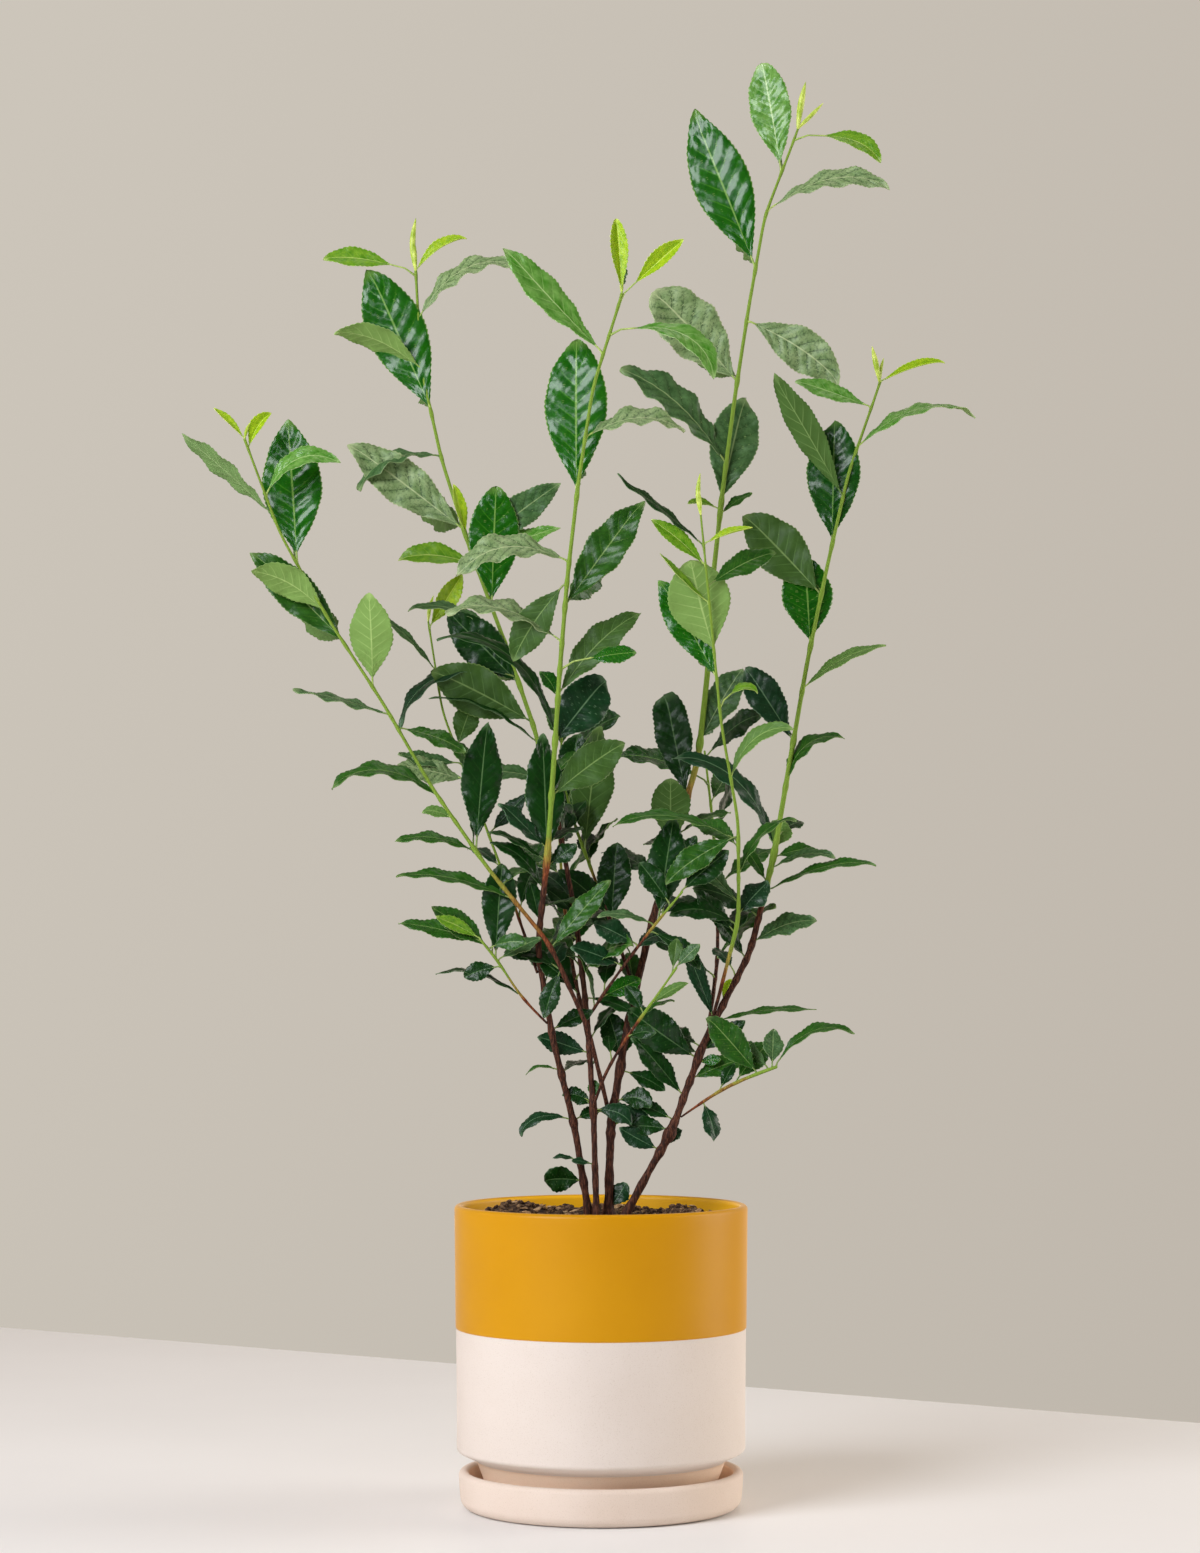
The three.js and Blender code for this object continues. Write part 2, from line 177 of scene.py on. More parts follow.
def makeRoom():
    # the wall that is seen, painted lighter to the left and higher up and darker to the right as painted
    # falloff of light, and unseen light: strongest from straight behind the plant, weaker from the sides and
    # above, and nearly none from the front
    world = bpy.data.worlds.new("room")
    bpy.context.scene.world = world
    world.use_nodes = True
    tree = world.node_tree
    node = partial(addNode, tree)
    seen = tree.nodes["Background"]
    place = node("TexCoord").outputs["Generated"]
    x, y, z = node("SeparateXYZ", {"Vector": place}).outputs
    drop = node("Math", {"operation": "MULTIPLY_ADD", 0: z, 1: room["slant"], 2: x})
    # painted light: the seen wall goes from lighter on the left to darker on the right
    paintedWallFalloff = node("MapRange", {"Value": drop, "From Min": room["from"], "From Max": room["to"]})
    wall = node("ValToRGB", {"Fac": paintedWallFalloff, "stops": [(0.0, room["left"]), (1.0, room["right"])]})
    setNode(seen, {"Color": wall})
    side = node("Math", {"operation": "MULTIPLY", 0: x, 1: x})
    level = node("Math", {"operation": "MULTIPLY_ADD", 0: side, 1: room["sides"], 2: room["dark"]})
    high = node("Math", {"operation": "MAXIMUM", 0: z, 1: 0.0})
    glow = node("Math", {"operation": "MULTIPLY_ADD", 0: high, 1: room["above"], 2: level})
    back = node("Math", {"operation": "MAXIMUM", 0: y, 1: 0.0})
    straight = node("Math", {"operation": "POWER", 0: back, 1: room["narrow"]})
    full = node("Math", {"operation": "MULTIPLY_ADD", 0: straight, 1: room["behind"], 2: glow})
    lit = node("Background", {"Color": linear(room["glow"]), "Strength": full})
    path = node("LightPath")
    both = node("MixShader", {0: path.outputs["Is Camera Ray"], 1: lit, 2: seen})
    setNode(tree.nodes["World Output"], {"Surface": both})


makeRoom()

tableTop = {
    "corners": [(-2.6, 2.46), (-2.6, -2.9), (3.4, -2.9), (3.4, -1.5)],  # the far edge runs askew
    "thick": 0.03, "clear": 0.0002,
}


def tableMaterial():
    # satin lacquered board: nearly white, with a very soft sheen
    material, surface, node = newMaterial("satinLacquer", Roughness=0.55, IOR=1.45)
    place = node("TexCoord").outputs["Object"]
    cloud = node("TexNoise", {"Scale": 3.0, "Detail": 3.0, "Vector": place})
    tone = node("ValToRGB", {"Fac": cloud, "stops": [(0.3, "#eae9e8"), (0.7, "#eeedec")]})
    setNode(surface, {"Base Color": tone})
    return material


def makeTable():
    corners = tableTop["corners"]
    top = [(x, y, -tableTop["clear"]) for x, y in corners]
    under = [(x, y, -tableTop["thick"]) for x, y in corners]
    sides = [(i, (i + 1) % 4, 4 + (i + 1) % 4, 4 + i) for i in range(4)]
    mesh = bpy.data.meshes.new("table")
    mesh.from_pydata(top + under, [], [(0, 1, 2, 3), (7, 6, 5, 4), *[s[::-1] for s in sides]])
    mesh.materials.append(tableMaterial())
    newObject("table", mesh)


makeTable()
print("stage ready")


turnSteps = 192  # round the pot and the saucer
potShape = {
    "radius": 100, "baseRadius": 98.5, "slopeFrom": 44, "height": 206.5, "wall": 6, "footRadius": 85.3,
    "footTaper": 9, "footTop": 33.2, "footEdge": 1.5, "corner": 3.5, "innerCorner": 10, "underSlope": 26,
    "under": 8.3, "floor": 18.3, "drain": 9, "glazeFrom": 123, "glazeThick": 0.35,
}
saucerShape = {
    "radius": 97, "height": 26, "wall": 7, "floor": 8, "corner": 8, "innerCorner": 4,
    "recess": 0.6, "recessRadius": 60,
}


def glazeMaterial(name, colours):
    # satin mustard stoneware glaze: even colour, orange peel of about 1.4 mm, a soft highlight
    material, surface, node = newMaterial(name, Roughness=0.4, IOR=1.3)
    place = node("TexCoord").outputs["Object"]
    pool = node("TexNoise", {"Scale": 14.0, "Detail": 4.0, "Vector": place})
    tone = node("ValToRGB", {"Fac": pool, "stops": zip((0.3, 0.7), colours)})
    peel = node("TexNoise", {"Scale": 700.0, "Detail": 2.0, "Vector": place})
    bump = node("Bump", {"Strength": 0.12, "Distance": 0.0003, "Height": peel})
    setNode(surface, {"Base Color": tone, "Normal": bump})
    return material


def bisqueMaterial(name, colours):
    # bisque-fired stoneware: dry, matt, with a sandy grain of 0.7 mm, coarse enough to show
    material, surface, node = newMaterial(name, Roughness=0.85, IOR=1.45)
    place = node("TexCoord").outputs["Object"]
    cloud = node("TexNoise", {"Scale": 18.0, "Detail": 5.0, "Vector": place})
    tone = node("ValToRGB", {"Fac": cloud, "stops": zip((0.3, 0.7), colours)})
    sand = node("TexNoise", {"Scale": 1 / (0.7 * mm), "Detail": 2.0, "Vector": place})
    fleck = node("ValToRGB", {"Fac": sand, "stops": [(0.3, "#e9e4de"), (0.42, "#ffffff")]})
    mix = node("Mix", {"data_type": "RGBA", "blend_type": "MULTIPLY", 0: 0.55, 6: tone, 7: fleck})
    bump = node("Bump", {"Strength": 0.25, "Distance": 0.0004, "Height": sand})
    setNode(surface, {"Base Color": mix, "Normal": bump})
    return material


def makePot():
    s = SimpleNamespace(**potShape)
    lip = s.wall / 2
    foot = s.footRadius - s.wall
    outside = [(s.drain, s.under), (s.footRadius - s.footTaper - s.footEdge, s.under)]
    outside += arc(s.footRadius - s.footTaper - s.footEdge, s.under + s.footEdge, s.footEdge, -80, 0, 4)
    outside += [(s.footRadius - 0.9, s.footTop - 2.4), (s.footRadius - 0.2, s.footTop - 0.5)]  # eased edge
    footRow = len(outside) - 1
    tilt = radians(s.underSlope)
    run = s.baseRadius - s.corner + s.corner * sin(tilt) - s.footRadius
    lift = run * tan(tilt) + s.corner * cos(tilt)
    outside += [(s.footRadius + 0.9, s.footTop + 0.2), (s.footRadius + 2.4, s.footTop + 2.4 * tan(tilt))]
    outside += arc(s.baseRadius - s.corner, s.footTop + lift, s.corner, s.underSlope - 90, 0, 8)
    slope = (s.radius - s.baseRadius) / (s.height - s.slopeFrom)
    for height in (60, 80, 100, s.glazeFrom - 1.0, s.glazeFrom - 0.25):
        outside.append((s.baseRadius + (height - s.slopeFrom) * slope - s.glazeThick, height))
    glazeRow = len(outside) - 1
    for height in (s.glazeFrom, s.glazeFrom + 0.35, s.glazeFrom + 1.2, 140, 160, 180, 196):
        thick = 0.6 if height < s.glazeFrom + 0.2 else 1.0  # the glaze thins out at its edge
        outside.append((s.baseRadius + (height - s.slopeFrom) * slope - s.glazeThick * (1 - thick), height))
    rim = arc(s.radius - lip, s.height - lip, lip, 0, 180, 14)
    inside = [(s.baseRadius - s.wall + (h - s.slopeFrom) * slope, h) for h in (196, 180, 150, 110, 70)]
    inside += arc(
        s.baseRadius - s.wall - s.innerCorner, s.footTop + s.wall + s.innerCorner, s.innerCorner, 0, -70, 5
    )
    inside += [(foot, s.footTop), (foot - s.footTaper, s.floor), (s.drain, s.floor)]
    profile = outside + rim + inside
    profile.append(profile[0])
    points, faces, rows = turnedMesh(profile, turnSteps)
    innerRow = len(outside) + 10  # past the top of the rim, where the inside glaze is painted brighter as painted light falling into the pot
    lastGlazed = len(outside) + len(rim) + 2
    glaze = glazeMaterial("satinGlaze", ("#ca8d00", "#d09301"))
    # the inside glaze is painted brighter than the outer glaze: painted light falling on the inner wall
    innerGlazePaintedLight = glazeMaterial("innerGlazeWithPaintedLight", ("#efb016", "#f2b41c"))
    bisque = bisqueMaterial("potBisque", ("#e4d8ce", "#e0d3c8"))
    # the bare foot is painted a warmer peach than the body: painted warm bounce light in the gap above the
    # saucer
    bareFootPaintedBounce = bisqueMaterial("footBisqueWithPaintedBounce", ("#f4dcc4", "#edd2b8"))
    # from the foot up and over the rim: bare foot, warmer as painted bounce light, bisque, glaze, the inside
    # glaze painted brighter as painted light, bisque
    bands = np.digitize(rows, [footRow, glazeRow, innerRow, lastGlazed])
    paint = np.array([2, 1, 0, 3, 1])[bands]
    finishes = [glaze, bisque, bareFootPaintedBounce, innerGlazePaintedLight]
    pot = addPiece("glazed_pot_body", points, faces, finishes, "glazed_pot", paint)
    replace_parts(pot, "pot")


def makeSaucer():
    s = SimpleNamespace(**saucerShape)
    lip = s.wall / 2
    profile = [(0, s.recess), (s.recessRadius, s.recess), (s.recessRadius + 2, 0)]
    profile += [(s.radius - s.corner - 1, 0)]
    profile += arc(s.radius - s.corner - 1, s.corner, s.corner, -84, -6, 9)
    profile += [(s.radius - 0.4, s.height * 0.55)]
    profile += arc(s.radius - lip, s.height - lip, lip, 0, 180, 14)
    rimRow = len(profile) - 3
    profile += arc(s.radius - s.wall - s.innerCorner, s.floor + s.innerCorner, s.innerCorner, 0, -90, 6)
    profile += [(40, s.floor), (0, s.floor)]
    points, faces, rows = turnedMesh(profile, turnSteps)
    bisque = bisqueMaterial("saucerBisque", ("#e6d5c7", "#e0cdbd"))
    # the inside of the dish is painted warmer than the outside: painted warm bounce light round the pot's
    # foot
    inside = bisqueMaterial("dishBisquePaintedBounce", ("#f0d6c0", "#e9ccb4"))
    paint = [int(row >= rimRow) for row in rows]
    saucer = addPiece("bisque_saucer_dish", points, faces, [bisque, inside], "bisque_saucer", paint)
    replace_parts(saucer, "saucer")


makePot()
makeSaucer()
print("pot and saucer ready")


mixShape = {
    "level": 196, "radius": 93.2, "rings": 44, "segments": 150, "surfaceFrom": 190,
    "side": [(0, 19), (69, 19), (78, 34), (84, 42), (90.5, 53), (92, 70), (93, 180)],  # inside the pot
    "flat": 38, "blend": 12,
    "heaps": [(-58, 18, 24, 9), (54, 10, 22, 8), (-4, 66, 44, 3)],  # x, y, width, rise
    "lump": 2.2, "coarse": (9, 0.75), "fine": (3.4, 0.45), "settle": 0.3,  # lumps: size in mm and share
}
lumpShape = {"margin": 4, "mostlySmall": 2.2, "uneven": 0.13, "tipped": 0.35}
crumbs = {"count": 1500, "sizes": (1.2, 5.5), "flatten": 0.75, "stretch": 0.5, "proud": 0.18}
chips = {"count": 190, "sizes": (2.0, 6.5), "flatten": 0.3, "stretch": 1.6, "proud": 0.25}


def soilHeight(x, y):
    away = max(0.0, (x * x + y * y) ** 0.5 - mixShape["flat"])
    height = mixShape["level"]
    for hx, hy, width, rise in mixShape["heaps"]:
        share = ((x - hx) ** 2 + (y - hy) ** 2) ** 0.5 / width
        height += rise * np.exp(-share * share) * min(1, away / mixShape["blend"])
    return height


def lumpyHeight(x, y):
    (coarseSize, coarseShare), (fineSize, fineShare) = mixShape["coarse"], mixShape["fine"]
    coarse = noise.noise(Vector((x / coarseSize, y / coarseSize, 3.1)))
    fine = noise.noise(Vector((x / fineSize, y / fineSize, 8.4)))
    lumps = mixShape["lump"] * (coarseShare * coarse + fineShare * fine)
    return soilHeight(x, y) + lumps - mixShape["settle"]


def mixMaterial(name, colours, rough=0.95):
    # composted bark and coir: dry and crumbly, mottled dark and light in grains of about 4 mm
    material, surface, node = newMaterial(name, Roughness=rough, IOR=1.4)
    place = node("TexCoord").outputs["Object"]
    grain = node("TexNoise", {"Scale": 260.0, "Detail": 6.0, "Roughness": 0.7, "Vector": place})
    tone = node("ValToRGB", {"Fac": grain, "stops": zip((0.34, 0.5, 0.68), colours)})
    bump = node("Bump", {"Strength": 0.7, "Distance": 0.0012, "Height": grain})
    setNode(surface, {"Base Color": tone, "Normal": bump})
    return material


def roughBalls(count, sizes, flatten, stretch, proud):
    # small irregular lumps lying on the mix, each from one subdivided octahedron
    corner = np.array([(1, 0, 0), (-1, 0, 0), (0, 1, 0), (0, -1, 0), (0, 0, 1), (0, 0, -1)], dtype=float)
    cell = [(0, 2, 4), (2, 1, 4), (1, 3, 4), (3, 0, 4), (2, 0, 5), (1, 2, 5), (3, 1, 5), (0, 3, 5)]
    ball, mesh = list(corner), []
    for a, b, c in cell:
        middle = []
        for p, q in ((a, b), (b, c), (c, a)):
            point = corner[p] + corner[q]
            point /= np.linalg.norm(point)
            match = [i for i, old in enumerate(ball) if np.allclose(old, point)]
            if not match:
                ball.append(point)
            middle.append(match[0] if match else len(ball) - 1)
        ab, bc, ca = middle
        mesh += [(a, ab, ca), (ab, b, bc), (ca, bc, c), (ab, bc, ca)]
    ball, mesh = np.array(ball), np.array(mesh)
    points, faces = [], []
    s = SimpleNamespace(**lumpShape)
    for k in range(count):
        radius = (mixShape["radius"] - s.margin) * rng.random() ** 0.5
        turn = rng.random() * 2 * pi
        x, y = radius * cos(turn), radius * sin(turn)
        size = sizes[0] + (sizes[1] - sizes[0]) * rng.random() ** s.mostlySmall
        shape = ball * (1 + rng.normal(0, s.uneven, (len(ball), 1)))
        shape = shape * [1 + stretch * rng.random(), 1, flatten]
        spin, tip = rng.random() * 2 * pi, rng.normal(0, s.tipped)
        shape = shape @ np.array([[cos(tip), 0, -sin(tip)], [0, 1, 0], [sin(tip), 0, cos(tip)]])
        shape = shape @ np.array([[cos(spin), sin(spin), 0], [-sin(spin), cos(spin), 0], [0, 0, 1]])
        points.append((shape * size / 2 + [x, y, lumpyHeight(x, y) + size * proud]) * mm)
        faces.append(mesh + k * len(ball))
    return np.concatenate(points), np.concatenate(faces)


def makeMix():
    s = SimpleNamespace(**mixShape)
    top = [(s.radius * (1 - k / s.rings), s.level) for k in range(s.rings)]
    points, faces, _ = turnedMesh([*s.side, *top, (0, s.level)], s.segments)
    for i, (x, y, z) in enumerate(points):
        if z > s.surfaceFrom * mm:
            points[i] = (x, y, lumpyHeight(x / mm, y / mm) * mm)
    soil = mixMaterial("barkCompost", ("#180e08", "#402b1d", "#8a6a48"))
    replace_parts(addPiece("potting_mix_bed", points, faces, [soil], "potting_mix"), "potting_mix")
    coir = mixMaterial("coirCrumb", ("#140b07", "#432d1e", "#b08d66"))
    addPiece("potting_mix_crumbs", *roughBalls(**crumbs), [coir], "potting_mix")
    pine = mixMaterial("pineBarkChip", ("#573c27", "#a07c56", "#d9bd96"), 0.85)
    addPiece("bark_chips", *roughBalls(**chips), [pine], "potting_mix")


makeMix()
print("potting mix ready")


# for each limb: heights above the mix where brown bark begins to turn and where it is all green,
# how strongly the bark is furrowed, and the height of an old scar that has grown into a knob
limbs = {
    "tall_stem": {"brown": 270, "green": 320, "furrow": 0.16},
    "right_stem": {"brown": 200, "green": 236, "furrow": 0.16, "knob": 57},
    "centre_stem": {"brown": 220, "green": 262, "furrow": 0.15},
    "left_stem": {"brown": 270, "green": 320, "furrow": 0.15},
    "far_left_bough": {"brown": 172, "green": 244, "furrow": 0.12},
    "front_bough": {"brown": 150, "green": 190, "furrow": 0.10},
    "rear_left_bough": {"brown": 196, "green": 232, "furrow": 0.10},
    "middle_bough": {"brown": 218, "green": 244, "furrow": 0.10},
    "back_bough": {"brown": 190, "green": 260, "furrow": 0.12},
    "back_right_bough": {"brown": 190, "green": 260, "furrow": 0.12},
    "crossing_twig": {"brown": 118, "green": 146, "furrow": 0.08},
    "upper_crossing_twig": {"brown": 186, "green": 214, "furrow": 0.08},
    "low_right_twig": {"brown": 76, "green": 98, "furrow": 0.08},
    "low_left_twig": {"brown": 138, "green": 160, "furrow": 0.08},
}
barkLook = {
    "middle": "#613a28", "red": "#95502c", "tan": "#a5903c", "green": "#7d9c34", "wander": 0.05,
    "ring": 2.4, "sides": 14, "smoothest": 0.15, "ageRun": 40, "around": 1.9, "flake": 11, "fine": 2.3,
    "fineShare": 0.6, "depth": 1.3, "knot": 0.28, "knotReach": 2.6, "knotMost": 0.38,
    "knob": 0.75, "knobReach": 3.6,
}
cutSpacing, cutMargin = 4, 0.5  # of the level cuts through a limb's solid, in mm


def barkMaterial(limb):
    # tea wood: brown flaky bark low down, with fibres of about 1 by 6 mm, then tan, then smooth green shoot
    material, surface, node = newMaterial("teaBark_" + limb, Roughness=0.72, IOR=1.32)
    s = SimpleNamespace(**barkLook)
    place = node("TexCoord").outputs["Object"]
    height = node("SeparateXYZ", {"Vector": place}).outputs["Z"]
    patch = node("TexNoise", {"Scale": 60.0, "Detail": 3.0, "Vector": place})
    low, high = [(soilLevel + limbs[limb][key]) * mm + s.wander / 2 for key in ("brown", "green")]
    shift = node("Math", {"operation": "MULTIPLY_ADD", 0: patch, 1: s.wander, 2: height})
    age = node("MapRange", {"Value": shift, "From Min": low, "From Max": high})
    stops = zip((0.0, 0.35, 0.65, 1.0), (s.middle, s.red, s.tan, s.green))
    tone = node("ValToRGB", {"Fac": age, "stops": stops})
    stretch = node("Mapping", {"Scale": (900, 900, 160), "Vector": place})
    fibre = node("TexNoise", {"Scale": 1.0, "Detail": 4.0, "Roughness": 0.6, "Vector": stretch})
    stops = [(0.38, "#3a241a"), (0.48, "#8a6a58"), (0.6, "#ffffff")]
    dark = node("ValToRGB", {"Fac": fibre, "stops": stops})
    old = node("MapRange", {"Value": age, "To Min": 0.85, "To Max": 0.15})
    mix = node("Mix", {"data_type": "RGBA", "blend_type": "MULTIPLY", 0: old, 6: tone, 7: dark})
    bump = node("Bump", {"Strength": 0.5, "Distance": 0.0004, "Height": fibre})
    setNode(surface, {"Base Color": mix, "Normal": bump})
    return material


def centreline(name):
    # the middle of the limb's solid and its radius, from level cuts through it, in mm
    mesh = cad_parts[name].data
    points = np.array([v.co for v in mesh.vertices]) / mm
    edges = np.array([e.vertices[:] for e in mesh.edges])
    a, b = points[edges[:, 0]], points[edges[:, 1]]
    low, high = points[:, 2].min(), points[:, 2].max()
    middles, cuts = [], []
    for height in np.linspace(low + cutMargin, high - cutMargin, max(5, int((high - low) / cutSpacing))):
        hit = (a[:, 2] - height) * (b[:, 2] - height) < 0
        share = (height - a[hit, 2]) / (b[hit, 2] - a[hit, 2])
        cut = a[hit] + share[:, None] * (b[hit] - a[hit])
        middles.append((cut.min(0) + cut.max(0)) / 2)
        cuts.append(cut)
    middles = np.array(middles)
    kernel = np.array([1, 2, 3, 4, 3, 2, 1]) / 16  # smooths over seven cuts
    before, after = 2 * middles[:1] - middles[3:0:-1], 2 * middles[-1:] - middles[-2:-5:-1]
    padded = np.concatenate([before, middles, after])
    middles = np.stack([np.convolve(padded[:, k], kernel, "valid") for k in range(3)], axis=1)
    ahead = np.gradient(middles, axis=0)
    ahead /= np.linalg.norm(ahead, axis=1)[:, None]
    size = []
    for middle, way, cut in zip(middles, ahead, cuts):
        away = cut - middle
        away -= (away @ way)[:, None] * way
        size.append(np.linalg.norm(away, axis=1).mean())
    return middles, np.convolve(np.pad(size, 3, mode="edge"), kernel, "valid")


def along(limb, height):
    # the middle of a limb, and its radius, at a height above the mix
    middles, size = lines[limb]
    level = np.clip(height + soilLevel, middles[0, 2], middles[-1, 2])
    place = np.array([np.interp(level, middles[:, 2], middles[:, k]) for k in range(3)])
    return place, float(np.interp(level, middles[:, 2], size))


def sideFrames(path):
    # a direction and two sides for each point of a path, carried along without twist
    ahead = np.gradient(path, axis=0)
    ahead /= np.linalg.norm(ahead, axis=1)[:, None]
    side = np.cross(ahead[0], (0.13, 1, 0.2))
    sides = []
    for way in ahead:
        side = side - way * (side @ way)
        side /= np.linalg.norm(side)
        sides.append(side)
    sides = np.array(sides)
    return ahead, sides, np.cross(ahead, sides)


def tubeMesh(path, radii, count, relief=None):
    # a tube along a path, closed by a low cone at its start and a longer one at its end
    ahead, one, two = sideFrames(path)
    points, faces = [path[0] - ahead[0] * radii[0] * 0.3], []
    for k, middle in enumerate(path):
        for i in range(count):
            turn = 2 * pi * i / count
            size = radii[k] * (1 if relief is None else relief[k, i])
            points.append(middle + size * (cos(turn) * one[k] + sin(turn) * two[k]))
    points.append(path[-1] + ahead[-1] * radii[-1] * 0.8)
    last = len(points) - 1
    for k in range(len(path) - 1):
        for i in range(count):
            j, row = (i + 1) % count, 1 + k * count
            faces.append((row + i, row + j, row + count + j, row + count + i))
    for i in range(count):
        j = (i + 1) % count
        faces.append((0, 1 + j, 1 + i))
        faces.append((last, last - count + i, last - count + j))
    return np.array(points), faces


def swelling(height, centre, rise, reach):
    return rise * np.exp(-(((height - centre) / reach) ** 2))


def makeLimb(name, knots):
    middles, size = lines[name]
    spec, s = limbs[name], SimpleNamespace(**barkLook)
    step = np.concatenate([[0], np.cumsum(np.linalg.norm(np.diff(middles, axis=0), axis=1))])
    count = int(step[-1] / s.ring)
    walk = np.linspace(0, step[-1], count)
    path = np.stack([np.interp(walk, step, middles[:, k]) for k in range(3)], axis=1)
    radii = np.interp(walk, step, size)
    relief = np.ones((count, s.sides))
    for k in range(count):
        height = path[k, 2] - soilLevel
        age = (spec["green"] - height) / max(s.ageRun, spec["green"] - spec["brown"])
        age = min(1.0, max(s.smoothest, age))
        swell = min(s.knotMost, sum(swelling(height, knot, s.knot, s.knotReach) for knot in knots))
        if "knob" in spec:
            swell += swelling(height, spec["knob"], s.knob, s.knobReach)
        for i in range(s.sides):
            turn = 2 * pi * i / s.sides
            spot = Vector((cos(turn) * s.around, sin(turn) * s.around, walk[k] / s.flake))
            flake = noise.noise(spot) + s.fineShare * noise.noise(spot * s.fine + Vector((9, 0, 0)))
            relief[k, i] = 1 + spec["furrow"] * age * flake * s.depth + swell
    points, faces = tubeMesh(path, radii, s.sides, relief)
    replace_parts(addPiece(name + "_bark", points * mm, faces, [barkMaterial(name)], "stem_bark"), name)


lines = {name: centreline(name) for name in limbs}


# each kind of tea leaf: the colours, then the roughness, the quilting between the veins in mm,
# the fold in degrees, the cup across the blade, the wave in mm, and how strong mottle and spots are
leafTraits = "upper dark edge vein under rib rough quilt fold cup wave mottle spots".split()
leafRows = {
    "glossy": ("#0c5204 #0a3a04 #2f7a10 #4a8a22 #567a2a #7fa850", 0.22, 1.9, 14, -0.2, 1.1, 0.4, 0.1),
    "pale": ("#3a7a14 #2a5c14 #8db862 #8db862 #789a4a #b0cc86", 0.24, 1.7, 16, -0.18, 1.2, 0.6, 0.25),
    # shade is the glossy leaf painted darker: painted shade for glossy leaves that lie in shadow in the crown
    "shade": ("#083f04 #062a04 #22641a #3a7026 #486c28 #6f9a4e", 0.25, 1.8, 16, -0.2, 1.6, 0.4, 0.15),
    "olive": ("#35561c #26421a #4f7430 #5f8440 #486a2a #7f9c58", 0.5, 1.2, 13, -0.16, 1.8, 0.4, 0.15),
    "mature": ("#1a4a0c #0e2a0a #3f7322 #4c7628 #5a7a3a #7f9c58", 0.32, 1.6, 17, -0.2, 1.9, 0.5, 0.35),
    "deep": ("#062e06 #041a04 #1a4a14 #224a1a #3f5e30 #5a7a4c", 0.3, 1.5, 20, -0.3, 1.9, 0.4, 0.2),
    "blue": ("#0a3014 #082010 #24502e #25482a #4a684a #688a64", 0.34, 1.4, 18, -0.3, 2.0, 0.4, 0.2),
    "dull": ("#33582a #1f3a1a #5f8450 #24421c #67864a #93aa72", 0.42, 1.8, 16, -0.2, 2.2, 0.7, 0.6),
    "sage": ("#6f8c55 #33502a #a9bb88 #1f3a1a #8ea26c #b7c492", 0.42, 2.0, 14, -0.16, 2.4, 0.6, 0.85),
    "matte": ("#4f7530 #3f6224 #6f9648 #88a85c #76984a #a3bf70", 0.46, 0.8, 10, -0.12, 0.9, 0.5, 0.1),
    "fresh": ("#4a8210 #3f7410 #8fb532 #8fb532 #84a430 #c0d474", 0.3, 0.5, 22, -0.12, 0.8, 0.6, 0.25),
    "young": ("#7aa608 #6a9408 #cfe030 #b8d028 #a8c824 #dcec70", 0.36, 0.25, 28, 0.08, 0.4, 0.5, 0.0),
}
leafKinds = {
    kind: dict(zip(leafTraits, (*colours.split(), *numbers)))
    for kind, (colours, *numbers) in leafRows.items()
}
leafShape = {
    "toothPitch": 3.4, "toothDepth": 0.75, "fewestTeeth": 7, "mostTeeth": 27, "thick": 0.32, "veins": 9,
    "skew": 0.17, "ribGroove": 0.35, "ribThick": 0.45, "ribWidth": 0.09, "droop": 6, "droopSpread": 12,
    "rollSpread": 7, "twistSpread": 13, "swaySpread": 7, "foldSpread": 3, "broad": 30, "onEdge": 80,
    "waxyBelow": 0.26,  # roughness under which the cuticle shines
}
across = np.array([-1, -0.92, -0.74, -0.52, -0.3, -0.1, 0, 0.1, 0.3, 0.52, 0.74, 0.92, 1])
uvHalf = 0.24  # half a blade's width in the UV map: upper side round 0.25, underside round 0.75


